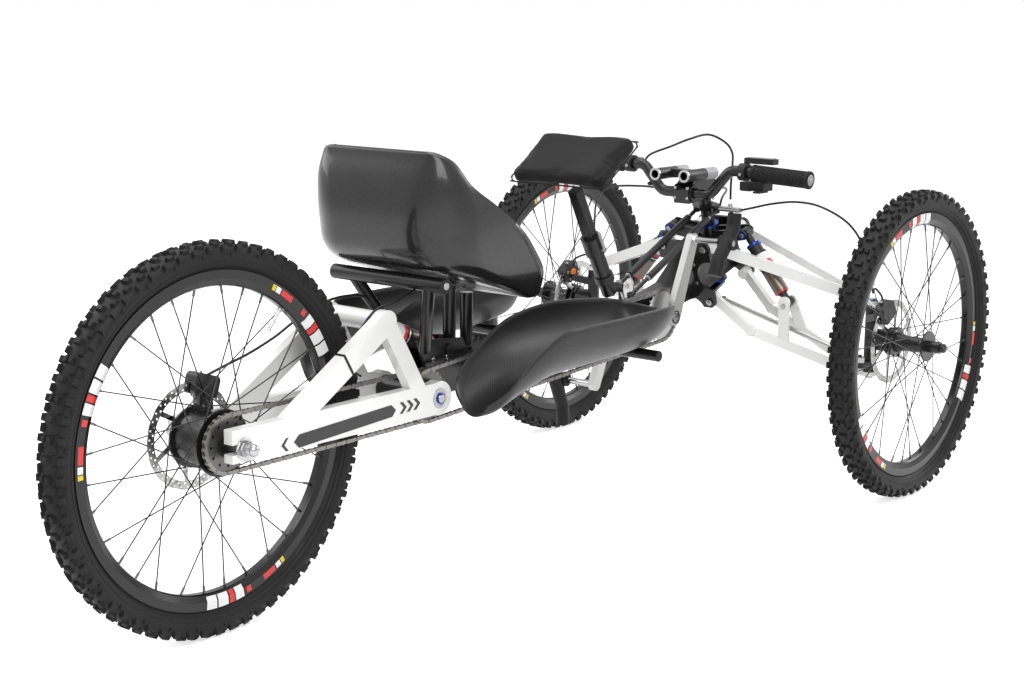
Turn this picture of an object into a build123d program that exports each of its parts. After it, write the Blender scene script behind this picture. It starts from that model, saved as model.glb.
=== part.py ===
"""Kneeling off-road hand trike: two steered front wheels, one driven rear wheel, hand cranks.

Millimetres, +X forward, +Y to the rider's left, +Z up.  The origin is on the ground, halfway
between the axles and between the front wheels.  Stations along the vehicle are given as a
distance ahead of the rear axle, with ahead(x, y, z).
"""
import os
from math import atan2, cos, degrees, hypot, pi, radians, sin

from build123d import *

os.makedirs("parts", exist_ok=True)

# ---------------------------------------------------------------- driving dimensions
WHEELBASE = 1576.5
TRACK = 960.0                # between the two front tyres' middle planes
TYRE_RADIUS = 335.0          # to the tips of the lugs, 26 x 2.35 in
TYRE_HALF_WIDTH = 29.0
BEAD_RADIUS = 279.5          # 559 mm bead seat
RIM_INNER_RADIUS = 259.0
RIM_HALF_WIDTH = 14.5
RUNNING_GAP = 0.3            # radial play of a bearing or a pin

HALF_TRACK = TRACK / 2
REAR_X = -WHEELBASE / 2
AXLE_Z = TYRE_RADIUS
SIDES = (("left", 1), ("right", -1))


def ahead(x, y, z):
    """The point x in front of the rear axle, y to the left and z above the ground."""
    return Vector(REAR_X + x, y, z)


def write(piece, label):
    """Name a finished sub-part and write its STEP file."""
    piece.part.label = label
    export_step(piece.part, f"parts/{label}.step")


# ---------------------------------------------------------------- shapes used again and again
def bar(start, end, radius):
    """A straight round bar from start to end."""
    start, end = Vector(start), Vector(end)
    with BuildPart() as piece:
        with BuildSketch(Plane(origin=start, z_dir=end - start)):
            Circle(radius)
        extrude(amount=(end - start).length)
    return piece.part


def box_bar(start, end, width, height, corner=0.0):
    """A straight bar with a rectangular section; its height stands as upright as the bar allows."""
    start, end = Vector(start), Vector(end)
    along = (end - start).normalized()
    level = Vector(0, 0, 1).cross(along).normalized()
    with BuildPart() as piece:
        with BuildSketch(Plane(origin=start, x_dir=level, z_dir=along)):
            if corner:
                RectangleRounded(width, height, corner)
            else:
                Rectangle(width, height)
        extrude(amount=(end - start).length)
    return piece.part


def bent_bar(points, bends, radius):
    """A round bar along straight runs joined by arcs; bends holds one radius for each corner."""
    points = [Vector(p) for p in points]
    with BuildPart() as piece:
        with BuildLine() as route:
            FilletPolyline(*points, radius=bends)
        with BuildSketch(Plane(origin=points[0], z_dir=points[1] - points[0])):
            Circle(radius)
        sweep(path=route.line)
    return piece.part


def washer(centre, axis, outer, inner, thickness):
    """A flat ring that starts at centre and grows along axis."""
    with BuildPart() as piece:
        with BuildSketch(Plane(origin=centre, z_dir=axis)):
            Circle(outer)
            if inner:
                Circle(inner, mode=Mode.SUBTRACT)
        extrude(amount=thickness)
    return piece.part


def wheel_plane(hub):
    """Sketch plane through an axle: local x runs along +Y, local y is the radius."""
    return Plane(origin=hub, x_dir=(0, 1, 0), z_dir=(1, 0, 0))


# ---------------------------------------------------------------- wheels
FRONT_HUB = {name: ahead(WHEELBASE, side * HALF_TRACK, AXLE_Z) for name, side in SIDES}
REAR_HUB = ahead(0, 0, AXLE_Z)
SHOULDER_DROP = 11.0         # from the lug tips at the middle to those at the shoulder
TREAD_HALF_WIDTH = 25.0
BEAD_HALF_WIDTH = 11.5
RIM_WALL = 2.5
FLANGE_HEIGHT = 7.0
SEAT_GAP = 0.4               # tyre bead above the rim's seat
AXLE_RADIUS = 8.5
ROTOR_THICKNESS = 2.0
ROTOR_ARMS = 6


def build_tyre(hub):
    with BuildPart() as tyre:
        with BuildSketch(wheel_plane(hub)):
            with BuildLine():
                foot = BEAD_RADIUS + SEAT_GAP
                knee = BEAD_RADIUS + FLANGE_HEIGHT + SEAT_GAP
                shoulder = TYRE_RADIUS - SHOULDER_DROP
                Polyline((-BEAD_HALF_WIDTH, knee), (-BEAD_HALF_WIDTH, foot),
                         (BEAD_HALF_WIDTH, foot), (BEAD_HALF_WIDTH, knee))
                ThreePointArc((BEAD_HALF_WIDTH, knee), (TYRE_HALF_WIDTH, (knee + shoulder) / 2),
                              (TREAD_HALF_WIDTH, shoulder))
                ThreePointArc((TREAD_HALF_WIDTH, shoulder), (0, TYRE_RADIUS),
                              (-TREAD_HALF_WIDTH, shoulder))
                ThreePointArc((-TREAD_HALF_WIDTH, shoulder),
                              (-TYRE_HALF_WIDTH, (knee + shoulder) / 2),
                              (-BEAD_HALF_WIDTH, knee))
            make_face()
        revolve(axis=Axis(hub, (0, 1, 0)))
    return tyre


def build_rim(hub):
    with BuildPart() as rim:
        with BuildSketch(wheel_plane(hub)):
            with BuildLine():
                top = BEAD_RADIUS + FLANGE_HEIGHT
                inside = RIM_HALF_WIDTH - RIM_WALL
                belly = RIM_INNER_RADIUS + RIM_WALL
                Polyline((-RIM_HALF_WIDTH, top), (-inside, top), (-inside, BEAD_RADIUS),
                         (inside, BEAD_RADIUS), (inside, top), (RIM_HALF_WIDTH, top),
                         (RIM_HALF_WIDTH, belly + 4 * RIM_WALL), (inside - RIM_WALL, belly),
                         (inside / 2, RIM_INNER_RADIUS), (-inside / 2, RIM_INNER_RADIUS),
                         (-inside + RIM_WALL, belly), (-RIM_HALF_WIDTH, belly + 4 * RIM_WALL),
                         close=True)
            make_face()
        revolve(axis=Axis(hub, (0, 1, 0)))
    return rim


def build_rotor(hub, y, radius, hole):
    """Brake rotor: a braking ring, a carrier ring and slanted arms between them."""
    ring = radius - 15.0
    carrier = hole + 9.0
    with BuildPart() as rotor:
        with BuildSketch(Plane(origin=hub + Vector(0, y, 0), x_dir=(1, 0, 0), z_dir=(0, 1, 0))):
            Circle(radius)
            Circle(ring, mode=Mode.SUBTRACT)
            Circle(carrier)
            with PolarLocations((carrier + ring) / 2, ROTOR_ARMS):
                Rectangle(ring - carrier + 6.0, 7.0, rotation=25)
            Circle(hole, mode=Mode.SUBTRACT)
        extrude(amount=ROTOR_THICKNESS / 2, both=True)
    return rotor


# front hubs: y is counted outboard from the tyre's middle plane
FRONT_FLANGE = 37.0
FRONT_FLANGE_RADIUS = 33.0
FLANGE_THICKNESS = 4.0
FRONT_BARREL_RADIUS = 17.0
FRONT_INBOARD = -56.0        # inboard end of the hub shell
FRONT_OUTBOARD = 66.0
FRONT_CAP_RADIUS = 13.0
FRONT_ROTOR_Y = -50.0
FRONT_ROTOR_RADIUS = 92.5
CARRIER_HOLE = 18.0


def build_front_hub(hub, side):
    with BuildPart() as shell:
        with BuildSketch(wheel_plane(hub)):
            with BuildLine():
                half = FLANGE_THICKNESS / 2
                steps = [(FRONT_INBOARD, AXLE_RADIUS + RUNNING_GAP),
                         (FRONT_INBOARD, CARRIER_HOLE - RUNNING_GAP),
                         (-FRONT_FLANGE - half, CARRIER_HOLE - RUNNING_GAP),
                         (-FRONT_FLANGE - half, FRONT_FLANGE_RADIUS),
                         (-FRONT_FLANGE + half, FRONT_FLANGE_RADIUS),
                         (-FRONT_FLANGE + half, FRONT_BARREL_RADIUS + 5),
                         (-FRONT_FLANGE / 3, FRONT_BARREL_RADIUS),
                         (FRONT_FLANGE - half, FRONT_BARREL_RADIUS),
                         (FRONT_FLANGE - half, FRONT_FLANGE_RADIUS),
                         (FRONT_FLANGE + half, FRONT_FLANGE_RADIUS),
                         (FRONT_FLANGE + half, FRONT_CAP_RADIUS),
                         (FRONT_OUTBOARD, FRONT_CAP_RADIUS),
                         (FRONT_OUTBOARD, AXLE_RADIUS + RUNNING_GAP)]
                Polyline(*[(side * y, r) for y, r in steps], close=True)
            make_face()
        revolve(axis=Axis(hub, (0, 1, 0)))
    return shell


for name, side in SIDES:
    hub = FRONT_HUB[name]
    write(build_tyre(hub), f"front_{name}_tyre")
    write(build_rim(hub), f"front_{name}_rim")
    write(build_front_hub(hub, side), f"front_{name}_hub")
    rotor = build_rotor(hub, side * FRONT_ROTOR_Y, FRONT_ROTOR_RADIUS, CARRIER_HOLE)
    write(rotor, f"front_{name}_rotor")

# rear wheel: internal-gear hub, toothed cog on the right, rotor on the left
REAR_DRUM_RADIUS = 47.0
REAR_FLANGE_RADIUS = 57.0
REAR_FLANGE_RIGHT = -27.0
REAR_FLANGE_LEFT = 43.0
REAR_ROTOR_Y = 52.0
REAR_ROTOR_RADIUS = 92.5
REAR_NECK_RADIUS = 22.0
REAR_NECK_LEFT = 57.0
REAR_NECK_RIGHT = -46.0

# chains: half-inch pitch
PITCH = 12.7
CHAIN_HALF_HEIGHT = 4.2
CHAIN_WIDTH = 7.4
TOOTH_SLOT = 4.4             # gap between the chain's side plates
TOOTH_THICKNESS = 2.0
TOOTH_TIP = 3.4              # tooth tip beyond the pitch circle
REAR_CHAIN_Y = -40.0
FRONT_CHAIN_Y = -50.0
COG_TEETH = 24
CHAINRING_TEETH = 28


def pitch_radius(teeth):
    return PITCH / (2 * sin(pi / teeth))


def build_sprocket(centre, y, teeth, bore, holes=0):
    """A toothed disc in the XZ plane, centred on the chain line at y."""
    radius = pitch_radius(teeth)
    root = radius - 3.6
    with BuildPart() as disc:
        with BuildSketch(Plane(origin=centre + Vector(0, y, 0), x_dir=(1, 0, 0), z_dir=(0, 1, 0))):
            Circle(root)
            with PolarLocations(root + (radius + TOOTH_TIP - root) / 2 - 0.5, teeth):
                Trapezoid(5.4, radius + TOOTH_TIP - root + 1.0, 72, rotation=-90)
            if holes:
                with PolarLocations(root - 9.0, holes):
                    Circle(2.6, mode=Mode.SUBTRACT)
            Circle(bore, mode=Mode.SUBTRACT)
        extrude(amount=TOOTH_THICKNESS / 2, both=True)
    return disc


with BuildPart() as rear_hub:
    with BuildSketch(wheel_plane(REAR_HUB)):
        with BuildLine():
            half = FLANGE_THICKNESS / 2
            bore = AXLE_RADIUS + RUNNING_GAP
            Polyline((REAR_NECK_RIGHT, bore), (REAR_NECK_RIGHT, REAR_NECK_RADIUS),
                     (REAR_FLANGE_RIGHT - half, REAR_NECK_RADIUS),
                     (REAR_FLANGE_RIGHT - half, REAR_FLANGE_RADIUS),
                     (REAR_FLANGE_RIGHT + half, REAR_FLANGE_RADIUS),
                     (REAR_FLANGE_RIGHT + half, REAR_DRUM_RADIUS),
                     (REAR_FLANGE_LEFT - half, REAR_DRUM_RADIUS),
                     (REAR_FLANGE_LEFT - half, REAR_FLANGE_RADIUS - 4),
                     (REAR_FLANGE_LEFT + half, REAR_FLANGE_RADIUS - 4),
                     (REAR_FLANGE_LEFT + half, REAR_NECK_RADIUS),
                     (REAR_NECK_LEFT, REAR_NECK_RADIUS), (REAR_NECK_LEFT, bore), close=True)
        make_face()
    revolve(axis=Axis(REAR_HUB, (0, 1, 0)))
write(rear_hub, "rear_hub")
write(build_tyre(REAR_HUB), "rear_tyre")
write(build_rim(REAR_HUB), "rear_rim")
write(build_rotor(REAR_HUB, REAR_ROTOR_Y, REAR_ROTOR_RADIUS, REAR_NECK_RADIUS + 0.1), "rear_rotor")
write(build_sprocket(REAR_HUB, REAR_CHAIN_Y, COG_TEETH, REAR_NECK_RADIUS + 0.1, holes=12),
      "rear_cog")

# ---------------------------------------------------------------- places of the frame
PIVOT = ahead(483, 0, 338)           # swingarm pivot and jackshaft
BOTTOM_BRACKET = ahead(1243, 0, 391)
BEAM_HALF_WIDTH = 22.0
BRACKET_RADIUS = 21.0
BRACKET_HALF_WIDTH = 34.0
HEAD_TILT = 18.6                     # bulkhead and steering axis lean back from upright
FORWARD = Vector(cos(radians(HEAD_TILT)), 0, sin(radians(HEAD_TILT)))
UPWARD = Vector(-sin(radians(HEAD_TILT)), 0, cos(radians(HEAD_TILT)))
HEAD_ORIGIN = ahead(1425.5, 0, 460.7)    # middle of the bulkhead's rear plate


def head(s, y, u):
    """A point of the bulkhead: s forward from its rear plate, y to the left, u along the axis."""
    return HEAD_ORIGIN + FORWARD * s + Vector(0, y, 0) + UPWARD * u


def head_plane(s):
    """Plane across the bulkhead at s: local x is +Y, local y is the upward lean."""
    return Plane(origin=head(s, 0, 0), x_dir=(0, 1, 0), z_dir=FORWARD)


# suspension pivots on the bulkhead: name, s, half spacing and height of upper and lower pin
PLATE_THICKNESS = 7.0
REAR_PLATE = 0.0
FRONT_PLATE = 154.0
PIVOTS = {  # (s, |y|, u)
    ("upper", "rear"): (REAR_PLATE, 53.0, 65.0),
    ("upper", "front"): (FRONT_PLATE, 53.0, 53.0),
    ("lower", "rear"): (REAR_PLATE, 48.0, -65.0),
    ("lower", "front"): (FRONT_PLATE, 48.0, -63.0),
}
LOBE_RADIUS = 15.0
EYE_RADIUS = 12.0
EYE_LENGTH = 26.0
STEER_S = 101.0                      # steering axis ahead of the rear plate
HEAD_TUBE_RADIUS = 21.0
HEAD_TUBE_BOTTOM = -62.0
HEAD_TUBE_TOP = 72.0
COLUMN_RADIUS = 14.0
TOWER_S = 100.0                      # middle of the shock towers

# ---------------------------------------------------------------- main frame
with BuildPart() as main_beam:
    with BuildSketch(Plane(origin=ahead(0, 0, 0), x_dir=(1, 0, 0), z_dir=(0, -1, 0))):
        with BuildLine():
            nose_low = head(-PLATE_THICKNESS * 1.5, 0, -52)
            nose_high = head(-PLATE_THICKNESS * 1.5, 0, 52)
            Polyline((470, 318), (1215, 366), (1352, 396), (nose_low.X - REAR_X, nose_low.Z),
                     (nose_high.X - REAR_X, nose_high.Z), (1322, 446), (1243, 428), (640, 398),
                     (470, 372), close=True)
        make_face()
    extrude(amount=BEAM_HALF_WIDTH, both=True)
    # bottom bracket shell and swingarm pivot shell, right through the beam
    add(bar(BOTTOM_BRACKET - Vector(0, BRACKET_HALF_WIDTH, 0),
            BOTTOM_BRACKET + Vector(0, BRACKET_HALF_WIDTH, 0), BRACKET_RADIUS + 5))
    add(bar(PIVOT - Vector(0, 26, 0), PIVOT + Vector(0, 58, 0), 25))
    spindle_hole = bar(BOTTOM_BRACKET - Vector(0, 90, 0), BOTTOM_BRACKET + Vector(0, 90, 0),
                       12 + RUNNING_GAP)
    add(spindle_hole, mode=Mode.SUBTRACT)
    add(bar(PIVOT - Vector(0, 90, 0), PIVOT + Vector(0, 90, 0), 8 + RUNNING_GAP),
        mode=Mode.SUBTRACT)
write(main_beam, "main_beam")


def build_plate(s, upper, lower):
    """One bulkhead plate: a web with four ears round the suspension pins."""
    (_, upper_y, upper_u), (_, lower_y, lower_u) = upper, lower
    with BuildPart() as plate:
        with BuildSketch(head_plane(s)):
            for y, u in ((upper_y, upper_u), (-upper_y, upper_u), (lower_y, lower_u),
                         (-lower_y, lower_u)):
                with Locations((y, u)):
                    Circle(LOBE_RADIUS)
            make_hull()
            # waists between the ears, left and right, above and below
            with Locations((62, 0), (-62, 0)):
                Circle(34, mode=Mode.SUBTRACT)
            with Locations((0, lower_u - 26)):
                Circle(32, mode=Mode.SUBTRACT)
        extrude(amount=PLATE_THICKNESS / 2, both=True)
    return plate


with BuildPart() as bulkhead_plates:
    add(build_plate(REAR_PLATE - PLATE_THICKNESS, PIVOTS["upper", "rear"],
                    PIVOTS["lower", "rear"]).part)
    add(build_plate(FRONT_PLATE + PLATE_THICKNESS, PIVOTS["upper", "front"],
                    PIVOTS["lower", "front"]).part)
write(bulkhead_plates, "bulkhead_plates")

with BuildPart() as head_box:
    box_start = REAR_PLATE - PLATE_THICKNESS / 2
    box_end = FRONT_PLATE + PLATE_THICKNESS / 2
    with BuildSketch(head_plane(box_start)):
        Rectangle(2 * 27.0, 96.0)
    extrude(amount=box_end - box_start)
    # shock towers either side of the head tube, each with two cheeks
    for side in (1, -1):
        for s in (TOWER_S - 18, TOWER_S + 13):
            with BuildSketch(head_plane(s)):
                with BuildLine():
                    Polyline((side * 18, 36), (side * 26, 36), (side * 104, 52),
                             (side * 108, 68), (side * 98, 76), (side * 18, 66), close=True)
                make_face()
            extrude(amount=5)
    add(bar(head(STEER_S, 0, HEAD_TUBE_BOTTOM), head(STEER_S, 0, HEAD_TUBE_TOP),
            HEAD_TUBE_RADIUS))
    add(bar(head(STEER_S, 0, HEAD_TUBE_BOTTOM - 5), head(STEER_S, 0, HEAD_TUBE_TOP + 5),
            COLUMN_RADIUS + RUNNING_GAP), mode=Mode.SUBTRACT)
write(head_box, "head_box")

# ---------------------------------------------------------------- swingarm
PLATE_OUTER = 80.0
PLATE_INNER = 60.0
ARM_TOP = 368.0
ARM_BOTTOM = 312.0
ARM_REAR = -25.0
BOSS_RADIUS = 32.0
APEX = (345.0, 497.0)
CROSS_RADIUS = 18.0


def arm_plate(y0):
    """Plane of one swingarm side, local x ahead of the rear axle and local y up."""
    return Plane(origin=ahead(0, y0, 0), x_dir=(1, 0, 0), z_dir=(0, -1, 0))


def strut(start, end, width):
    """Flat strut in a side plate, drawn in the plate's own sketch."""
    length = hypot(end[0] - start[0], end[1] - start[1])
    slant = degrees(atan2(end[1] - start[1], end[0] - start[0]))
    with Locations(((start[0] + end[0]) / 2, (start[1] + end[1]) / 2)):
        Rectangle(length, width, rotation=slant)


with BuildPart() as swingarm:
    for name, side in SIDES:
        with BuildSketch(arm_plate(side * (PLATE_OUTER + PLATE_INNER) / 2)):
            with BuildLine():
                Polyline((ARM_REAR, ARM_BOTTOM), (ARM_REAR, ARM_TOP), (483, ARM_TOP),
                         (483, ARM_BOTTOM - 4), close=True)
            make_face()
            with Locations((483, 338)):
                Circle(BOSS_RADIUS)
            strut((100, 348), APEX, 42)
            strut(APEX, (428, 360), 34)
            with Locations(APEX):
                Circle(22)
            # open-ended axle slot
            with Locations((ARM_REAR + 16, AXLE_Z)):
                Rectangle(50, 2 * AXLE_RADIUS, mode=Mode.SUBTRACT)
            with Locations((483, 338)):
                Circle(8 + RUNNING_GAP, mode=Mode.SUBTRACT)
        extrude(amount=(PLATE_OUTER - PLATE_INNER) / 2, both=True)
write(swingarm, "swingarm")

with BuildPart() as swingarm_bridge:
    add(bar(ahead(APEX[0], -PLATE_INNER, APEX[1]), ahead(APEX[0], PLATE_INNER, APEX[1]),
            CROSS_RADIUS))
write(swingarm_bridge, "swingarm_bridge")

# the pivot spindle and the rear axle, both fixed in the swingarm
with BuildPart() as swingarm_axles:
    add(bar(PIVOT - Vector(0, PLATE_OUTER + 2, 0), PIVOT + Vector(0, PLATE_OUTER + 2, 0), 8))
    add(bar(REAR_HUB - Vector(0, 104, 0), REAR_HUB + Vector(0, 104, 0), AXLE_RADIUS))
    for side in (1, -1):
        add(washer(REAR_HUB + Vector(0, side * PLATE_OUTER, 0), (0, side, 0), 14, 0, 3))
        add(washer(REAR_HUB + Vector(0, side * (PLATE_OUTER + 3), 0), (0, side, 0), 11, 0, 12))
write(swingarm_axles, "swingarm_axles")

# ---------------------------------------------------------------- jackshaft, crank and chains
HALF_SHAFT_OUT = -58.0
with BuildPart() as jackshaft:
    add(build_sprocket(PIVOT, REAR_CHAIN_Y, COG_TEETH, 8 + RUNNING_GAP).part)
    add(build_sprocket(PIVOT, FRONT_CHAIN_Y, COG_TEETH, 8 + RUNNING_GAP).part)
    add(washer(PIVOT + Vector(0, -28, 0), (0, -1, 0), 17, 8 + RUNNING_GAP, 29))
write(jackshaft, "jackshaft_cogs")


def build_chain(rear, rear_teeth, front, front_teeth, y):
    """A closed chain: solid runs, and two side plates with a slot for the teeth round each cog."""
    flat = Plane(origin=(0, y, 0), x_dir=(1, 0, 0), z_dir=(0, -1, 0))
    cogs = ((rear, pitch_radius(rear_teeth)), (front, pitch_radius(front_teeth)))
    with BuildPart() as chain:
        for offset, mode in ((CHAIN_HALF_HEIGHT, Mode.ADD), (-CHAIN_HALF_HEIGHT, Mode.SUBTRACT)):
            with BuildSketch(flat):
                for centre, radius in cogs:
                    with Locations((centre.X, centre.Z)):
                        Circle(radius + offset)
                make_hull()
            extrude(amount=CHAIN_WIDTH / 2, both=True, mode=mode)
        for centre, radius in cogs:
            slot = washer(Vector(centre.X, y - TOOTH_SLOT / 2, centre.Z), (0, 1, 0),
                          radius + CHAIN_HALF_HEIGHT + 4, 0, TOOTH_SLOT)
            add(slot, mode=Mode.SUBTRACT)
    return chain


write(build_chain(REAR_HUB, COG_TEETH, PIVOT, COG_TEETH, REAR_CHAIN_Y), "rear_chain")
write(build_chain(PIVOT, COG_TEETH, BOTTOM_BRACKET, CHAINRING_TEETH, FRONT_CHAIN_Y),
      "front_chain")

CRANK_LENGTH = 175.0
CRANK_ANGLE = 68.0           # right arm above the horizontal, pointing forward
ARM_INNER = 72.0
ARM_THICKNESS = 15.0
ARM_BOSS = 19.0
ARM_TIP = 13.0
ROD_RADIUS = 7.0
ROD_END = 186.0              # outer end of a grip's rod
SPINDLE_RADIUS = 12.0


def crank_end(side):
    """Axis of a grip's rod at y = 0; the left arm points opposite to the right one."""
    angle = radians(CRANK_ANGLE + (180 if side > 0 else 0))
    return BOTTOM_BRACKET + Vector(CRANK_LENGTH * cos(angle), 0, CRANK_LENGTH * sin(angle))


with BuildPart() as crankset:
    add(bar(BOTTOM_BRACKET - Vector(0, ARM_INNER, 0), BOTTOM_BRACKET + Vector(0, ARM_INNER, 0),
            SPINDLE_RADIUS))
    for name, side in SIDES:
        tip = crank_end(side)
        plane = Plane(origin=BOTTOM_BRACKET + Vector(0, side * (ARM_INNER + ARM_THICKNESS / 2), 0),
                      x_dir=(1, 0, 0), z_dir=(0, -1, 0))
        with BuildSketch(plane):
            Circle(ARM_BOSS)
            with Locations(((tip - BOTTOM_BRACKET).X, (tip - BOTTOM_BRACKET).Z)):
                Circle(ARM_TIP)
            make_hull()
        extrude(amount=ARM_THICKNESS / 2, both=True)
        add(bar(tip + Vector(0, side * (ARM_INNER + ARM_THICKNESS), 0),
                tip + Vector(0, side * ROD_END, 0), ROD_RADIUS))
    add(build_sprocket(BOTTOM_BRACKET, FRONT_CHAIN_Y, CHAINRING_TEETH, SPINDLE_RADIUS - 1).part)
write(crankset, "crankset")

# grips: bent rubber handles that turn on their rods; points are (forward, up) from the rod
GRIP_RADIUS = 15.0
GRIP_Y = 170.0
GRIP_POINTS = {
    "right": ((26, 62), (22, 30), (-34, -34), (-46, -66)),
    "left": ((-40, 36), (-28, 10), (4, -60), (8, -104)),
}
for name, side in SIDES:
    centre = crank_end(side) + Vector(0, side * GRIP_Y, 0)
    points = [centre + Vector(x, 0, z) for x, z in GRIP_POINTS[name]]
    with BuildPart() as grip:
        add(bent_bar(points, [24, 24], GRIP_RADIUS))
        add(bar(centre - Vector(0, 17, 0), centre + Vector(0, 17, 0), ROD_RADIUS + 8))
        add(bar(centre - Vector(0, 30, 0), centre + Vector(0, 30, 0), ROD_RADIUS + RUNNING_GAP),
            mode=Mode.SUBTRACT)
    write(grip, f"grip_{name}_crank")

# ---------------------------------------------------------------- front suspension
KINGPIN_Y = 380.0
KINGPIN_X = WHEELBASE
KNUCKLE_TOP = 410.0
KNUCKLE_BOTTOM = 262.0
KNUCKLE_RADIUS = 14.0
KINGPIN_RADIUS = 6.0
YOKE_THICKNESS = 9.0
YOKE_GAP = 0.6
YOKE_RADIUS = 17.0
LEG_SPREAD = 10.0            # half the distance between the legs where they meet the yoke


SHOCK_TOP = (100.0, 98.0, 63.0)      # s, |y| and u on the bulkhead
SHOCK_FOOT = (1502.0, 212.0, 406.0)  # ahead, |y|, z on the lower arm

EYE_START = -PLATE_THICKNESS / 2             # the rear eyes touch the rear plate
EYE_STOP = FRONT_PLATE + PLATE_THICKNESS / 2


def eye_place(level, end, side):
    """Start of a suspension eye on its pin, and the eye's middle."""
    s, y, u = PIVOTS[level, end]
    start = EYE_START if end == "rear" else EYE_STOP - EYE_LENGTH
    return head(start, side * y, u), head(start + EYE_LENGTH / 2, side * y, u)


with BuildPart() as upper_arms:
    for name, side in SIDES:
        yoke = ahead(KINGPIN_X, side * KINGPIN_Y, KNUCKLE_TOP + YOKE_GAP)
        with BuildSketch(Plane(origin=yoke)):
            Circle(YOKE_RADIUS)
            with Locations((0, -side * 26)):
                Rectangle(36, 14)
            make_hull()
        extrude(amount=YOKE_THICKNESS)
        add(bar(yoke - Vector(0, 0, 60), yoke + Vector(0, 0, 4), KINGPIN_RADIUS))
        for end, width, height, shift in (("rear", 16, 24, -LEG_SPREAD),
                                          ("front", 14, 17, LEG_SPREAD)):
            start, middle = eye_place("upper", end, side)
            lug = yoke + Vector(shift, -side * 14, height / 2)
            add(box_bar(middle + Vector(0, side * 5, 0), lug, width, height))
            add(washer(start, FORWARD, EYE_RADIUS, 0, EYE_LENGTH))
write(upper_arms, "upper_arms")

LOWER_KNEES = {"rear": (1455.0, 150.0, 339.0), "front": (1555.0, 140.0, 378.0)}
LOWER_LUG = (14.0, 28.0, 5.0)        # spread, inboard and down from the kingpin's foot
BRACKET_Y = 212.0                    # shock foot
with BuildPart() as lower_arms:
    for name, side in SIDES:
        yoke = ahead(KINGPIN_X, side * KINGPIN_Y, KNUCKLE_BOTTOM - YOKE_GAP)
        with BuildSketch(Plane(origin=yoke)):
            Circle(YOKE_RADIUS)
            with Locations((0, -side * 34)):
                Rectangle(44, 14)
            make_hull()
        extrude(amount=-YOKE_THICKNESS)
        add(bar(yoke - Vector(0, 0, 4), yoke + Vector(0, 0, 60), KINGPIN_RADIUS))
        for end, shift in (("rear", -LOWER_LUG[0]), ("front", LOWER_LUG[0])):
            start, middle = eye_place("lower", end, side)
            knee_x, knee_y, knee_z = LOWER_KNEES[end]
            knee = ahead(knee_x, side * knee_y, knee_z)
            lug = yoke + Vector(shift, -side * LOWER_LUG[1], -LOWER_LUG[2])
            add(box_bar(middle + Vector(0, side * 4, 0), knee, 15, 20))
            add(box_bar(knee, lug, 15, 20))
            add(bar(knee - Vector(9, 0, 0), knee + Vector(9, 0, 0), 11.5))
            add(washer(start, FORWARD, EYE_RADIUS, 0, EYE_LENGTH))
            # bracket plate from this leg up to the shock's lower bolt
            reach = (BRACKET_Y - knee_y) / (KINGPIN_Y - LOWER_LUG[1] - knee_y)
            foot = knee + (lug - knee) * reach
            bolt = ahead(SHOCK_FOOT[0], side * SHOCK_FOOT[1], SHOCK_FOOT[2])
            top = bolt + Vector(-17.5 if end == "rear" else 17.5, 0, 0)
            add(box_bar(top, foot, 26, 6))
            add(bar(top - Vector(3.6, 0, 0), top + Vector(3.6, 0, 0), 14))
write(lower_arms, "lower_arms")

# ---------------------------------------------------------------- knuckles and brakes
STEERING_ARM = 45.0
BALL_Z = 294.0                       # middle of a tie rod's outer eye
CALIPER_AT = (-38.0, 70.0)           # ahead and up from the axle
CALIPER_SLOT = 6.0

for name, side in SIDES:
    hub = FRONT_HUB[name]
    foot = ahead(KINGPIN_X, side * KINGPIN_Y, KNUCKLE_BOTTOM)
    with BuildPart() as knuckle:
        add(bar(foot, foot + Vector(0, 0, KNUCKLE_TOP - KNUCKLE_BOTTOM), KNUCKLE_RADIUS))
        add(bar(foot + Vector(0, 0, AXLE_Z - KNUCKLE_BOTTOM),
                hub + Vector(0, side * (FRONT_INBOARD - 1.5), 0), 24))
        add(bar(hub + Vector(0, side * (FRONT_INBOARD - 2), 0),
                hub + Vector(0, side * (FRONT_OUTBOARD + 6), 0), AXLE_RADIUS))
        ball = ahead(KINGPIN_X - STEERING_ARM, side * KINGPIN_Y, BALL_Z)
        add(box_bar(foot + Vector(0, 0, BALL_Z - KNUCKLE_BOTTOM - 13), ball - Vector(0, 0, 13),
                    18, 10))
        add(bar(ball - Vector(0, 0, 18), ball - Vector(0, 0, 8), 9))
        add(bar(ball - Vector(0, 0, 10), ball + Vector(0, 0, 11), 4))
        # brake caliper over the rotor, and its bracket from the upright
        rotor_y = side * (HALF_TRACK + FRONT_ROTOR_Y)
        place = ahead(WHEELBASE + CALIPER_AT[0], rotor_y, AXLE_Z + CALIPER_AT[1])
        with BuildSketch(Plane(origin=place, x_dir=(1, 0, 0), z_dir=(0, -side, 0))):
            RectangleRounded(50, 40, 9, rotation=28 * side)
        extrude(amount=13, both=True)
        add(box_bar(foot + Vector(-6, 0, 118), place + Vector(0, -side * 10, -12), 20, 16))
        add(washer(hub + Vector(0, rotor_y - hub.Y - side * CALIPER_SLOT / 2, 0), (0, side, 0),
                   FRONT_ROTOR_RADIUS + 2, AXLE_RADIUS + 1, CALIPER_SLOT), mode=Mode.SUBTRACT)
        add(bar(foot - Vector(0, 0, 5), foot + Vector(0, 0, 200),
                KINGPIN_RADIUS + RUNNING_GAP), mode=Mode.SUBTRACT)
    write(knuckle, f"knuckle_{name}")

# ---------------------------------------------------------------- shock absorbers
SHOCK_STEPS = (  # share of the length from the upper bolt, radius
    (0.00, 9.0), (0.17, 9.0), (0.17, 16.5), (0.21, 16.5), (0.21, 15.5), (0.50, 15.5),
    (0.50, 17.0), (0.56, 17.0), (0.56, 12.5), (0.88, 12.5), (0.88, 9.0), (1.00, 9.0),
)


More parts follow.
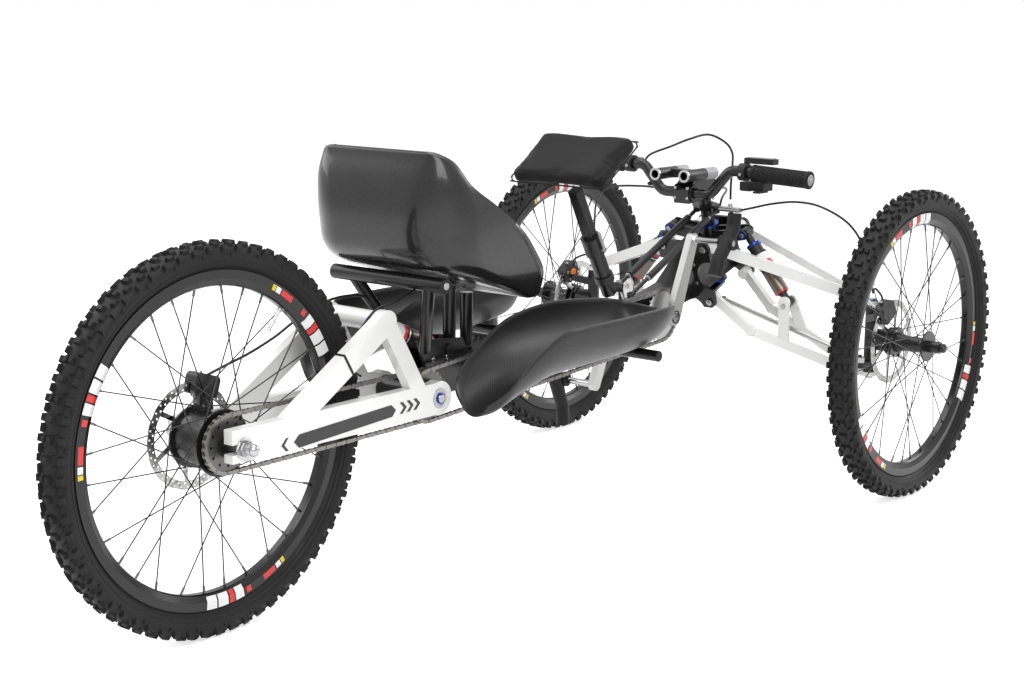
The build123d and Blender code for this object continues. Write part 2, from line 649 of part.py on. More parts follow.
def build_shock(top, bottom, pin_axis, eye_width):
    """Damper between two bolts: a stepped round body and an eye at each end."""
    span = bottom - top
    side_dir = Vector(pin_axis).cross(span).normalized()
    with BuildPart() as shock:
        with BuildSketch(Plane(origin=top, x_dir=span, z_dir=span.cross(side_dir))):
            with BuildLine():
                length = span.length
                corners = [(share * length, radius) for share, radius in SHOCK_STEPS]
                Polyline((0, 0), *corners, (length, 0), close=True)
            make_face()
        revolve(axis=Axis(top, span))
        for end in (top, bottom):
            add(washer(end - Vector(pin_axis) * (eye_width / 2), pin_axis, 11, 0, eye_width))
    return shock.part


with BuildPart() as front_shocks:
    for name, side in SIDES:
        top = head(SHOCK_TOP[0], side * SHOCK_TOP[1], SHOCK_TOP[2])
        bottom = ahead(SHOCK_FOOT[0], side * SHOCK_FOOT[1], SHOCK_FOOT[2])
        add(build_shock(top, bottom, FORWARD, 20))
write(front_shocks, "front_shocks")

REAR_SHOCK_TOP = ahead(372, 0, 486)
REAR_SHOCK_BOTTOM = ahead(565, 0, 412)
with BuildPart() as rear_shock:
    add(build_shock(REAR_SHOCK_TOP, REAR_SHOCK_BOTTOM, Vector(0, 1, 0), 34))
    add(bar(ahead(APEX[0], 0, APEX[1]), REAR_SHOCK_TOP, 9))
    add(bar(ahead(APEX[0], -70, APEX[1]), ahead(APEX[0], 70, APEX[1]), CROSS_RADIUS),
        mode=Mode.SUBTRACT)
write(rear_shock, "rear_shock")

with BuildPart() as rear_caliper:
    place = ahead(28, REAR_ROTOR_Y, 418)
    with BuildSketch(Plane(origin=place, x_dir=(1, 0, 0), z_dir=(0, 1, 0))):
        RectangleRounded(54, 38, 9, rotation=18)
    extrude(amount=14, both=True)
    with BuildSketch(Plane(origin=ahead(46, 69, ARM_TOP))):
        Rectangle(30, 14)
    extrude(amount=46)
    add(washer(REAR_HUB + Vector(0, REAR_ROTOR_Y - CALIPER_SLOT / 2, 0), (0, 1, 0),
               REAR_ROTOR_RADIUS + 2, 0, CALIPER_SLOT), mode=Mode.SUBTRACT)
write(rear_caliper, "rear_caliper")

# ---------------------------------------------------------------- seat
SHELL = 3.5
SEAT_HALF_WIDTH = 178.0
SEAT_UNDER = ((400.0, 590.0), (672.0, 500.0))    # underside line, rear to front


def seat_solid(inset):
    """The bucket as three crossing extrusions, each drawn inset by a wall thickness."""
    with BuildPart() as solid:
        with BuildSketch(Plane(origin=ahead(0, 0, 0), x_dir=(1, 0, 0), z_dir=(0, -1, 0))):
            with BuildLine():
                grow = 40.0 if inset else 0.0
                Polyline((396 + inset, 780 + grow), (392 + inset, 690), (404 + inset, 618),
                         (424 + inset, 590 + inset), (672 + grow, 506 + inset - grow * 0.33),
                         (690 + grow, 545 + grow), (650 + grow, 590 + grow), (545, 735 + grow),
                         (455, 790 + grow), (410, 797 + grow), close=True)
            make_face()
        extrude(amount=SEAT_HALF_WIDTH - inset, both=True)
        # seen from above: round rear corners
        with BuildSketch(Plane.XY.offset(400)):
            with Locations((REAR_X + 392 + inset + 250, 0)):
                RectangleRounded(500, 2 * (SEAT_HALF_WIDTH - inset), 96 - inset)
        extrude(amount=500, mode=Mode.INTERSECT)
        # seen from behind: round lower corners
        with BuildSketch(Plane(origin=ahead(0, 0, 0), x_dir=(0, 1, 0), z_dir=(1, 0, 0))):
            with Locations((0, 700 - inset * 0.5)):
                RectangleRounded(2 * (SEAT_HALF_WIDTH - inset), 400 - inset, 60 - inset)
        extrude(amount=1200, both=True, mode=Mode.INTERSECT)
    return solid.part


with BuildPart() as seat:
    add(seat_solid(0.0))
    add(seat_solid(SHELL), mode=Mode.SUBTRACT)
write(seat, "seat")

with BuildPart() as seat_frame:
    add(bar(ahead(433, -137, 558), ahead(433, 137, 558), 14))
    for side in (1, -1):
        add(bar(ahead(438, side * 92, 552), ahead(497, side * 30, 420), 12))
        # cheek that carries the rear shock's front bolt
        with BuildSketch(arm_plate(side * BEAM_HALF_WIDTH)):
            with BuildLine():
                Polyline((520, 345), (640, 362), (606, 428), (478, 440), close=True)
            make_face()
        extrude(amount=-side * 7)
        add(bar(ahead(565, side * 18, 412), ahead(565, side * 34, 412), 11))
write(seat_frame, "seat_frame")

with BuildPart() as seat_posts:
    for x, top in ((600, 524), (650, 507)):
        add(bar(ahead(x, 0, 400), ahead(x, 0, top), 12.5))
write(seat_posts, "seat_posts")

# ---------------------------------------------------------------- leg trays
TRAY_INNER = 120.0
TRAY_OUTER = 285.0
TRAY_FLOOR = ((1010.0, 455.0), (990.0, 412.0), (955.0, 390.0), (700.0, 385.0), (620.0, 385.0),
              (570.0, 372.0), (525.0, 342.0), (475.0, 326.0), (430.0, 336.0), (398.0, 372.0),
              (385.0, 430.0))
TRAY_INNER_RIM = ((392.0, 474.0), (500.0, 496.0), (850.0, 490.0), (1010.0, 457.0))
TRAY_OUTER_RIM = ((1030.0, 455.0), (900.0, 452.0), (720.0, 440.0), (640.0, 418.0),
                  (575.0, 402.0), (480.0, 410.0), (385.0, 440.0))


def tray_solid(inset, side):
    middle = side * (TRAY_INNER + TRAY_OUTER) / 2
    width = TRAY_OUTER - TRAY_INNER - 2 * inset
    with BuildPart() as solid:
        with BuildSketch(Plane(origin=ahead(0, middle, 0), x_dir=(1, 0, 0), z_dir=(0, -1, 0))):
            with BuildLine():
                raise_by = 60.0 if inset else 0.0
                floor = [(x + inset * (x - 700) / -310, z + inset) for x, z in TRAY_FLOOR]
                rim = [(x, z + raise_by) for x, z in TRAY_INNER_RIM]
                rim[0] = (TRAY_INNER_RIM[0][0] + inset, rim[0][1])
                rim[-1] = (TRAY_INNER_RIM[-1][0] - inset, rim[-1][1])
                Polyline(*floor, *rim, close=True)
            make_face()
        extrude(amount=width / 2, both=True)
        with BuildSketch(Plane.XY.offset(250)):
            with Locations((REAR_X + 697.5, middle)):
                RectangleRounded(625 - 2 * inset, width, 70 - inset)
        extrude(amount=400, mode=Mode.INTERSECT)
    return solid.part


with BuildPart() as leg_trays:
    for name, side in SIDES:
        add(tray_solid(0.0, side))
    for name, side in SIDES:
        add(tray_solid(SHELL, side), mode=Mode.SUBTRACT)
        # the outer half is cut down to the outer rim
        outer_half = Plane(origin=ahead(0, side * 205, 0), x_dir=(1, 0, 0), z_dir=(0, side, 0))
        with BuildSketch(outer_half):
            with BuildLine():
                Polyline(*[(x, -z * side) for x, z in TRAY_OUTER_RIM], (385, -600 * side),
                         (1030, -600 * side), close=True)
            make_face()
        extrude(amount=100, mode=Mode.SUBTRACT)
write(leg_trays, "leg_trays")

with BuildPart() as tray_supports:
    add(bar(ahead(930, -258, 374), ahead(930, 258, 374), 11))
    add(box_bar(ahead(680, -160, 370), ahead(680, 160, 370), 38, 30))
    add(main_beam.part, mode=Mode.SUBTRACT)
write(tray_supports, "tray_supports")

# ---------------------------------------------------------------- steering
BAR_X = 1400.0
BAR_POINTS = ((-305, 691), (-114, 699), (-64, 642), (64, 642), (114, 699), (305, 691))
BAR_RADIUS = 12.0
ROD_OFFSET = 26.0                    # push rod pins either side of the steering axis
ROD_PLATE_U = 118.0
PITMAN_U = -74.0
TIE_PIN = (STEER_S - STEERING_ARM, 14.0)     # s and |y| of the tie rods' inner pins

with BuildPart() as steering_column:
    add(bar(head(STEER_S, 0, HEAD_TUBE_BOTTOM - 14), head(STEER_S, 0, 182), COLUMN_RADIUS))
    # arms of the push rods
    with BuildSketch(Plane(origin=head(STEER_S, 0, ROD_PLATE_U), x_dir=(0, 1, 0),
                           z_dir=UPWARD)):
        with Locations((ROD_OFFSET, 0), (-ROD_OFFSET, 0)):
            Circle(9)
        Circle(COLUMN_RADIUS + 4)
        make_hull()
    extrude(amount=6)
    for side in (1, -1):
        add(bar(head(STEER_S, side * ROD_OFFSET, ROD_PLATE_U - 16),
                head(STEER_S, side * ROD_OFFSET, ROD_PLATE_U + 2), 3.5))
    # pitman arm of the tie rods
    with BuildSketch(Plane(origin=head(STEER_S, 0, PITMAN_U), x_dir=(0, 1, 0), z_dir=UPWARD)):
        Circle(COLUMN_RADIUS + 3)
        with Locations((TIE_PIN[1], STEERING_ARM), (-TIE_PIN[1], STEERING_ARM)):
            Circle(9)
        make_hull()
    extrude(amount=7)
    for side in (1, -1):
        add(bar(head(TIE_PIN[0], side * TIE_PIN[1], PITMAN_U - 16),
                head(TIE_PIN[0], side * TIE_PIN[1], PITMAN_U + 2), 4))
write(steering_column, "steering_column")

with BuildPart() as handlebar:
    add(bent_bar([ahead(BAR_X, y, z) for y, z in BAR_POINTS], [30, 30, 30, 30], BAR_RADIUS))
    add(box_bar(head(STEER_S - 4, 0, 172), ahead(BAR_X, 0, 642), 34, 26))
    add(bar(ahead(BAR_X, -24, 642), ahead(BAR_X, 24, 642), 19))
    add(bar(head(STEER_S, 0, 60), head(STEER_S, 0, 182), COLUMN_RADIUS), mode=Mode.SUBTRACT)
write(handlebar, "handlebar")

HAND_GRIP_RADIUS = 17.0
with BuildPart() as hand_grips:
    for name, side in SIDES:
        outer = ahead(BAR_X, side * 310, 690.8)
        inner = ahead(BAR_X, side * 172, 696.6)
        along = (inner - outer).normalized()
        add(washer(outer - along * 3, along, HAND_GRIP_RADIUS, 0, 141))
    for name, side in SIDES:
        add(bar(ahead(BAR_X, side * 305, 691), ahead(BAR_X, side * 114, 699), BAR_RADIUS),
            mode=Mode.SUBTRACT)
write(hand_grips, "hand_grips")

with BuildPart() as twin_tubes:
    for side in (1, -1):
        rear = ahead(1332, side * 38, 685)
        add(washer(rear, (1, 0, 0), 13, 0, 120))
        add(washer(rear + Vector(-1, 0, 0), (1, 0, 0), 9, 0, 40), mode=Mode.SUBTRACT)
    add(box_bar(ahead(1392, -38, 685), ahead(1392, 38, 685), 24, 18))
    add(bar(ahead(1392, 0, 694), ahead(1392, 0, 664), 12))
write(twin_tubes, "twin_tubes")

with BuildPart() as brake_lever:
    for name, side in (("right", -1),):
        clamp = ahead(BAR_X, side * 150, 697.5)
        add(washer(clamp - Vector(0, 9, 0), (0, 1, 0), 19, BAR_RADIUS + 0.9, 18))
        add(box_bar(clamp + Vector(16, 0, 0), clamp + Vector(44, 0, -2), 22, 16))
        add(bent_bar([clamp + Vector(38, side * -6, -4), clamp + Vector(62, side * 14, -8),
                      clamp + Vector(58, side * 110, -12)], [10], 5))
write(brake_lever, "brake_lever")

# ---------------------------------------------------------------- tie rods and push rods
for name, side in SIDES:
    inner = head(TIE_PIN[0], side * TIE_PIN[1], PITMAN_U - 9)
    outer = ahead(KINGPIN_X - STEERING_ARM, side * KINGPIN_Y, BALL_Z)
    along = (outer - inner).normalized()
    with BuildPart() as tie_rod:
        add(bar(inner, outer, 6))
        add(washer(inner - UPWARD * 5, UPWARD, 9, 0, 10))
        add(washer(outer - Vector(0, 0, 6), (0, 0, 1), 10, 0, 12))
        add(bar(inner - UPWARD * 30, inner + UPWARD * 30, 4 + RUNNING_GAP), mode=Mode.SUBTRACT)
        add(bar(outer - Vector(0, 0, 30), outer + Vector(0, 0, 30), 6.2), mode=Mode.SUBTRACT)
    write(tie_rod, f"tie_rod_{name}")

POST_AXIS = ahead(1165, 0, 424)      # the chest post turns about the line up from here


def post_point(s, y, u):
    """A point by its distance ahead of the post's axis, to the left, and along the axis."""
    return POST_AXIS + FORWARD * s + Vector(0, y, 0) + UPWARD * u


ROD_EYE_U = 19.0
COLUMN_EYE_U = ROD_PLATE_U - 9.0
for name, side in SIDES:
    lower = post_point(0, side * ROD_OFFSET, ROD_EYE_U)
    upper = head(STEER_S, side * ROD_OFFSET, COLUMN_EYE_U)
    along = (upper - lower).normalized()
    with BuildPart() as push_rod:
        add(bar(lower, upper, 4.5))
        add(bar(lower + along * 74, upper - along * 40, 8))
        add(washer(lower - UPWARD * 5, UPWARD, 8, 0, 10))
        add(washer(upper - UPWARD * 5, UPWARD, 8, 0, 10))
        add(bar(lower - UPWARD * 20, lower + UPWARD * 20, 3.5 + RUNNING_GAP), mode=Mode.SUBTRACT)
        add(bar(upper - UPWARD * 20, upper + UPWARD * 20, 3.5 + RUNNING_GAP), mode=Mode.SUBTRACT)
    write(push_rod, f"push_rod_{name}")

# ---------------------------------------------------------------- chest post and pad
with BuildPart() as post_pin:
    add(bar(post_point(0, 0, -2), post_point(0, 0, 50), 7))
    add(main_beam.part, mode=Mode.SUBTRACT)
write(post_pin, "post_pin")

with BuildPart() as chest_post:
    add(bar(post_point(0, 0, 10), post_point(0, 0, 46), 15))
    with BuildSketch(Plane(origin=post_point(0, 0, 29), x_dir=(0, 1, 0), z_dir=UPWARD)):
        with Locations((ROD_OFFSET, 0), (-ROD_OFFSET, 0)):
            Circle(8)
        Circle(15)
        make_hull()
    extrude(amount=7)
    for side in (1, -1):
        add(bar(post_point(0, side * ROD_OFFSET, 12), post_point(0, side * ROD_OFFSET, 32), 3.5))
    add(box_bar(post_point(-4, 0, 36), ahead(1112, 0, 466), 26, 18))
    add(bar(ahead(1118, 0, 450), ahead(1050, 0, 566), 17))
    add(box_bar(ahead(1056, 0, 556), ahead(990, 0, 678), 24, 24, 3))
    add(bar(ahead(1066, 0, 540), ahead(1044, 0, 577), 21))
    add(bar(post_point(0, 0, -10), post_point(0, 0, 60), 7 + RUNNING_GAP), mode=Mode.SUBTRACT)
write(chest_post, "chest_post")

PAD_LOW = ahead(913, 0, 707)
PAD_HIGH = ahead(1037, 0, 792)
PAD_THICKNESS = 38.0
with BuildPart() as chest_pad:
    slope = (PAD_HIGH - PAD_LOW).normalized()
    inward = Vector(slope.Z, 0, -slope.X)        # forward and down, into the pad
    with BuildSketch(Plane(origin=(PAD_LOW + PAD_HIGH) * 0.5, x_dir=(0, 1, 0), z_dir=inward)):
        RectangleRounded(242, 152, 22)
    extrude(amount=PAD_THICKNESS)
write(chest_pad, "chest_pad")
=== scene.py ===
"""Dressed model of a kneeling off-road hand trike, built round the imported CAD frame."""
import math
from itertools import accumulate

import bmesh
import bpy
from mathutils import Matrix, Vector


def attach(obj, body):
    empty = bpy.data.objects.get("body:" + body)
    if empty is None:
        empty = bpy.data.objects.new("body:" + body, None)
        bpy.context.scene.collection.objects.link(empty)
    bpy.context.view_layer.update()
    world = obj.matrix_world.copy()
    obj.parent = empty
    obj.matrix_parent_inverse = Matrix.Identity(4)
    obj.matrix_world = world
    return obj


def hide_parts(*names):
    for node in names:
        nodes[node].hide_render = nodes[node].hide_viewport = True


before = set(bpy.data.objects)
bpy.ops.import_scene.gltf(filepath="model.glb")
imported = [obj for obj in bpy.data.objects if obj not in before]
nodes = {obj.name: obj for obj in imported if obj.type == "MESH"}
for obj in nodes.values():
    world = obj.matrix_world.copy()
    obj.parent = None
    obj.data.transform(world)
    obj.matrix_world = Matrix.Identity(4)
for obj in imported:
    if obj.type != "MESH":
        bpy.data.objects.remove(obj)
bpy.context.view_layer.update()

WHEELBASE = 1.5765
REAR_X = -WHEELBASE / 2
AXLE_Z = 0.335
BEAD = 0.2795  # radius of the tyre's seat on the rim
HUBS = {
    "rear": Vector((REAR_X, 0, AXLE_Z)),
    "front_left": Vector((REAR_X + WHEELBASE, 0.48, AXLE_Z)),
    "front_right": Vector((REAR_X + WHEELBASE, -0.48, AXLE_Z)),
}
WHEEL_BODIES = {
    "rear": "rear_wheel",
    "front_left": "front_wheel_left",
    "front_right": "front_wheel_right",
}
HEAD_TILT = math.radians(18.6)
FORWARD = Vector((math.cos(HEAD_TILT), 0, math.sin(HEAD_TILT)))
UPWARD = Vector((-math.sin(HEAD_TILT), 0, math.cos(HEAD_TILT)))
LEVEL, SIDEWAYS, UPRIGHT = Vector((1, 0, 0)), Vector((0, 1, 0)), Vector((0, 0, 1))
SIDES = (("left", SIDEWAYS), ("right", -SIDEWAYS))


def ahead(x, y, z):
    """The point x in front of the rear axle."""
    return Vector((REAR_X + x, y, z))


BULKHEAD = ahead(1.4255, 0, 0.4607)


def head(s, y, u):
    """The point s in front of the bulkhead, y to the left and u up along the steering axis."""
    return BULKHEAD + FORWARD * s + SIDEWAYS * y + UPWARD * u


def ray(angle):
    """The unit vector at an angle round a wheel or cog."""
    return Vector((math.cos(angle), 0, math.sin(angle)))


def new_object(name, data):
    obj = bpy.data.objects.new(name, data)
    bpy.context.collection.objects.link(obj)
    return obj


# ---- materials
def fill(tree, node, values):
    """Sets a node's inputs by name or number: sockets are linked, the rest are constants."""
    for key, value in values.items():
        if isinstance(value, bpy.types.NodeSocket):
            tree.links.new(value, node.inputs[key])
        else:
            node.inputs[key].default_value = value


def add_node(tree, kind, values=None, **settings):
    node = tree.nodes.new(f"ShaderNode{kind}")
    for key, value in settings.items():
        setattr(node, key, value)
    fill(tree, node, values or {})
    return node


def finish(name, colour, rough, metal=0.0, coat=0.0, grain=700.0, mottle=0.08, bump=0.12,
           depth=0.0002, spread=0.06, edge=0.0, sheen=0.0, shine=0.5):
    """Procedural surface: clouded colour and roughness, fine grain, optional worn-round edges."""
    mat = bpy.data.materials.new(name)
    mat.use_nodes = True
    tree = mat.node_tree
    place = add_node(tree, "TexCoord").outputs["Object"]
    cloud = add_node(tree, "TexNoise", {"Scale": 11.0, "Detail": 5.0, "Vector": place})
    fine = add_node(tree, "TexNoise", {"Scale": grain, "Detail": 3.0, "Vector": place})
    tint = add_node(tree, "Mix", {
        "A": (*[c * (1 - mottle) for c in colour], 1),
        "B": (*[min(c * (1 + mottle), 1.0) for c in colour], 1),
        "Factor": cloud.outputs["Fac"]}, data_type="RGBA")
    gloss = add_node(tree, "MapRange", {
        "From Min": 0.3, "From Max": 0.7, "To Min": max(rough - spread, 0.03),
        "To Max": min(rough + spread, 1.0), "Value": cloud.outputs["Fac"]})
    relief = add_node(tree, "Bump", {
        "Strength": bump, "Distance": depth, "Height": fine.outputs["Fac"]})
    if edge:
        soft = add_node(tree, "Bevel", {"Radius": edge}, samples=4)
        fill(tree, relief, {"Normal": soft.outputs["Normal"]})
    fill(tree, tree.nodes["Principled BSDF"], {
        "Metallic": metal, "Coat Weight": coat, "Coat Roughness": 0.06, "Sheen Weight": sheen,
        "Specular IOR Level": shine, "Base Color": tint.outputs["Result"],
        "Roughness": gloss.outputs["Result"], "Normal": relief.outputs["Normal"]})
    return mat


TOW = 0.0013  # width of one strand of the weave, in metres


def carbon(name, rough, coat, light):
    """Twill carbon cloth under resin; the weave follows the piece's UV map, in metres."""
    mat = finish(name, (0.012, 0.012, 0.013), rough, coat=coat, spread=0.04, shine=0.3)
    tree = mat.node_tree
    uv = add_node(tree, "TexCoord").outputs["UV"]
    split = add_node(tree, "SeparateXYZ", {"Vector": uv}).outputs

    def maths(kind, *values):
        return add_node(tree, "Math", dict(enumerate(values)), operation=kind).outputs[0]

    strands = [maths("FLOOR", maths("MULTIPLY", split[axis], 1 / TOW)) for axis in "XY"]
    step = maths("FRACT", maths("MULTIPLY", maths("ADD", *strands), 0.25))
    tint = add_node(tree, "Mix", {
        "A": (0.004, 0.004, 0.0045, 1), "B": (light, light, light * 1.04, 1),
        "Factor": maths("GREATER_THAN", step, 0.4)}, data_type="RGBA")
    fill(tree, tree.nodes["Principled BSDF"], {"Base Color": tint.outputs["Result"]})
    return mat


BLACK_PAINT = finish("black_paint", (0.008, 0.008, 0.0085), 0.26, edge=0.0007, shine=0.4)
BLACK_MATT = finish("black_anodised", (0.010, 0.010, 0.011), 0.4, edge=0.0006, shine=0.4)
BLACK_PLASTIC = finish("black_plastic", (0.009, 0.009, 0.009), 0.5, bump=0.3, edge=0.0006,
                       shine=0.3)
WHITE_PAINT = finish("white_paint", (0.83, 0.83, 0.82), 0.22, coat=0.4, mottle=0.015,
                     spread=0.03, bump=0.03, edge=0.0009)
RUBBER = finish("tyre_rubber", (0.0125, 0.0122, 0.012), 0.62, mottle=0.3, bump=0.5,
                depth=0.0004, shine=0.22, spread=0.12)
GRIP_RUBBER = finish("grip_rubber", (0.009, 0.009, 0.009), 0.62, bump=0.6, depth=0.0003,
                     shine=0.25)
RIM_BLACK = finish("rim_black", (0.006, 0.006, 0.0065), 0.2, spread=0.05, edge=0.0005,
                   shine=0.4)
SPOKE_BLACK = finish("hub_and_spoke_black", (0.007, 0.007, 0.0075), 0.28, edge=0.0005,
                     shine=0.45)
STEEL = finish("steel", (0.33, 0.33, 0.325), 0.25, metal=1.0, edge=0.0005, spread=0.1)
CHROME = finish("chrome", (0.42, 0.42, 0.43), 0.08, metal=1.0, spread=0.03, bump=0.02)
ALLOY = finish("brushed_alloy", (0.46, 0.46, 0.455), 0.3, metal=1.0, edge=0.0007, bump=0.2)
DARK_STEEL = finish("dark_steel", (0.13, 0.128, 0.125), 0.36, metal=0.9, edge=0.0004)
CHAIN_STEEL = finish("chain_steel", (0.21, 0.205, 0.19), 0.34, metal=0.9, mottle=0.2)
DISC_STEEL = finish("disc_steel", (0.36, 0.36, 0.355), 0.24, metal=1.0, spread=0.1, bump=0.15)
HOSE = finish("hose_black", (0.007, 0.007, 0.007), 0.34, bump=0.2, shine=0.35)
BLUE = finish("blue_anodised", (0.012, 0.055, 0.36), 0.25, metal=0.7)
RED = finish("red_lacquer", (0.62, 0.02, 0.02), 0.3, coat=0.3)
ORANGE = finish("orange_plastic", (0.72, 0.19, 0.02), 0.4)
BRONZE = finish("shock_body_grey", (0.16, 0.13, 0.11), 0.3, metal=0.8)
WHITE_FILM = finish("white_film", (0.84, 0.84, 0.84), 0.3, mottle=0.02)
RED_FILM = finish("red_film", (0.66, 0.03, 0.025), 0.3)
BLACK_FILM = finish("black_film", (0.013, 0.013, 0.014), 0.3)
YELLOW_FILM = finish("yellow_film", (0.75, 0.55, 0.03), 0.4)
GREY_PLASTIC = finish("grey_plastic", (0.32, 0.32, 0.33), 0.4)
FABRIC = finish("pad_fabric", (0.007, 0.007, 0.0075), 0.8, grain=1500.0, bump=0.7,
                depth=0.0005, sheen=0.08, shine=0.2)
SEAT_CARBON = carbon("seat_carbon", 0.26, 0.35, 0.018)
TRAY_CARBON = carbon("tray_carbon", 0.4, 0.05, 0.026)


def paint(mat, *names):
    for name in names:
        obj = nodes[name]
        obj.data.materials.clear()
        obj.data.materials.append(mat)


paint(BLACK_PAINT, "main_beam", "bulkhead_plates", "head_box", "seat_frame", "seat_posts",
      "tray_supports", "chest_post", "handlebar", "steering_column")
paint(WHITE_PAINT, "swingarm", "swingarm_bridge", "upper_arms", "lower_arms")
paint(STEEL, "swingarm_axles", "post_pin")
paint(BLACK_MATT, "front_shocks", "rear_shock", "rear_caliper", "twin_tubes", "knuckle_left",
      "knuckle_right", "push_rod_left", "push_rod_right")
paint(ALLOY, "tie_rod_left", "tie_rod_right", "crankset")
paint(BLACK_PLASTIC, "brake_lever")
paint(DARK_STEEL, "rear_cog", "jackshaft_cogs")
paint(GRIP_RUBBER, "grip_left_crank", "grip_right_crank", "hand_grips")
paint(CHAIN_STEEL, "rear_chain", "front_chain")
paint(FABRIC, "chest_pad")
paint(SEAT_CARBON, "seat")
paint(TRAY_CARBON, "leg_trays")
for wheel in HUBS:
    paint(RUBBER, f"{wheel}_tyre")
    paint(RIM_BLACK, f"{wheel}_rim")
    paint(SPOKE_BLACK, f"{wheel}_hub")
    paint(DISC_STEEL, f"{wheel}_rotor")


# ---- mesh tools
def square_to(axis):
    """Two unit vectors square to an axis and to each other."""
    axis = Vector(axis).normalized()
    helper = Vector((0, 0, 1)) if abs(axis.z) < 0.9 else Vector((1, 0, 0))
    first = axis.cross(helper).normalized()
    return first, axis.cross(first).normalized()


def fan(first, second, sides):
    """Unit vectors evenly round a circle through two that are square to each other."""
    turns = (2 * math.pi * k / sides for k in range(sides))
    return [first * math.cos(t) + second * math.sin(t) for t in turns]


def baked(obj):
    """A new mesh of the object as its modifiers or its curve make it."""
    bpy.context.view_layer.update()
    graph = bpy.context.evaluated_depsgraph_get()
    return bpy.data.meshes.new_from_object(obj.evaluated_get(graph))


SQUARE = ((-1, -1), (1, -1), (1, 1), (-1, 1))


class Maker:
    """Gathers the faces of one piece, in the frame that all pieces share; done() makes it."""

    def __init__(self, name, body, mat, angle=32.0):
        self.name, self.body, self.mat, self.angle = name, body, mat, angle
        self.points, self.faces = [], []

    def add(self, points, faces):
        base = len(self.points)
        self.points += [tuple(p) for p in points]
        self.faces += [tuple(base + i for i in f) for f in faces]

    def skin(self, rings, closed=False):
        """Walls between rings of points, with an end face on each unless they close up."""
        rows, sides = len(rings), len(rings[0])
        faces = []
        for i in range(rows if closed else rows - 1):
            j = (i + 1) % rows
            for k in range(sides):
                m = (k + 1) % sides
                faces.append((i * sides + k, j * sides + k, j * sides + m, i * sides + m))
        if not closed:
            faces += [range(sides), reversed(range((rows - 1) * sides, rows * sides))]
        self.add([p for ring in rings for p in ring], faces)
        return self

    def lathe(self, centre, axis, profile, sides=24, closed=False):
        """Turns (along, radius) points about an axis."""
        axis = Vector(axis).normalized()
        circle = fan(*square_to(axis), sides)
        return self.skin([[Vector(centre) + axis * along + v * radius for v in circle]
                          for along, radius in profile], closed)

    def rod(self, start, end, radius, sides=16):
        start, end = Vector(start), Vector(end)
        length = (end - start).length
        ease = min(radius * 0.12, length * 0.2)
        self.lathe(start, end - start, [(0, radius - ease), (ease, radius),
                                        (length - ease, radius), (length, radius - ease)], sides)

    def peg(self, foot, reach, radius, sides=16):
        """A rod by its foot and the vector to its other end."""
        self.rod(foot, Vector(foot) + Vector(reach), radius, sides)

    def ring(self, centre, axis, inner, outer, width, sides=32):
        return self.lathe(Vector(centre) - Vector(axis).normalized() * width / 2, axis,
                          [(0, inner), (0, outer), (width, outer), (width, inner)], sides, True)

    def slab(self, outline, thickness):
        """A flat closed outline (list of points) thickened along its normal."""
        return self.skin([outline, [p + thickness for p in outline]])

    def block(self, centre, right, up, depth):
        """A box by its middle and three half-edge vectors."""
        return self.skin([[centre + right * a + up * b + depth * e for a, b in SQUARE]
                          for e in (-1, 1)])

    def box(self, centre, x, y, z):
        """A level box by its middle and half sizes."""
        self.block(centre, LEVEL * x, SIDEWAYS * y, UPRIGHT * z)

    def pipe(self, points, radius, sides=10):
        """A smooth tube through the points."""
        path = smooth(points)
        rings = []
        first = None
        for i, p in enumerate(path):
            along = (path[min(i + 1, len(path) - 1)] - path[max(i - 1, 0)]).normalized()
            if first is None:
                first = square_to(along)[0]
            first = (first - along * first.dot(along)).normalized()
            rings.append([p + v * radius for v in fan(first, along.cross(first), sides)])
        return self.skin(rings)

    def done(self, replace=()):
        mesh = bpy.data.meshes.new(self.name)
        mesh.from_pydata(self.points, [], self.faces)
        bm = bmesh.new()
        bm.from_mesh(mesh)
        bmesh.ops.recalc_face_normals(bm, faces=bm.faces)
        bm.to_mesh(mesh)
        bm.free()
        mesh.polygons.foreach_set("use_smooth", [True] * len(mesh.polygons))
        mesh.set_sharp_from_angle(angle=math.radians(self.angle))
        mesh.materials.append(self.mat)
        obj = new_object(self.name, mesh)
        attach(obj, self.body)
        if replace:
            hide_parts(*replace)
        return obj


def smooth(points, steps=8):
    """Catmull-Rom points through a list of places or of rows of numbers."""
    rows = [tuple(p) for p in points]
    out = []
    for i in range(len(rows) - 1):
        p0, p1 = rows[max(i - 1, 0)], rows[i]
        p2, p3 = rows[i + 1], rows[min(i + 2, len(rows) - 1)]
        for k in range(steps):
            t = k / steps
            out.append([0.5 * (2 * b + (c - a) * t + (2 * a - 5 * b + 4 * c - d) * t * t
                               + (3 * b - a - 3 * c + d) * t ** 3)
                        for a, b, c, d in zip(p0, p1, p2, p3)])
    out.append(list(rows[-1]))
    return [Vector(p) for p in out] if len(rows[0]) == 3 else out


def pegs(name, body, mat, *rows):
    """One piece made of pegs: foot, reach, radius and number of sides of each."""
    piece = Maker(name, body, mat)
    for row in rows:
        piece.peg(*row)
    piece.done()


# ---- wheels
def round_point(hub, y, radius, angle):
    return hub + ray(angle) * radius + SIDEWAYS * y


KNOB_ROWS = 66


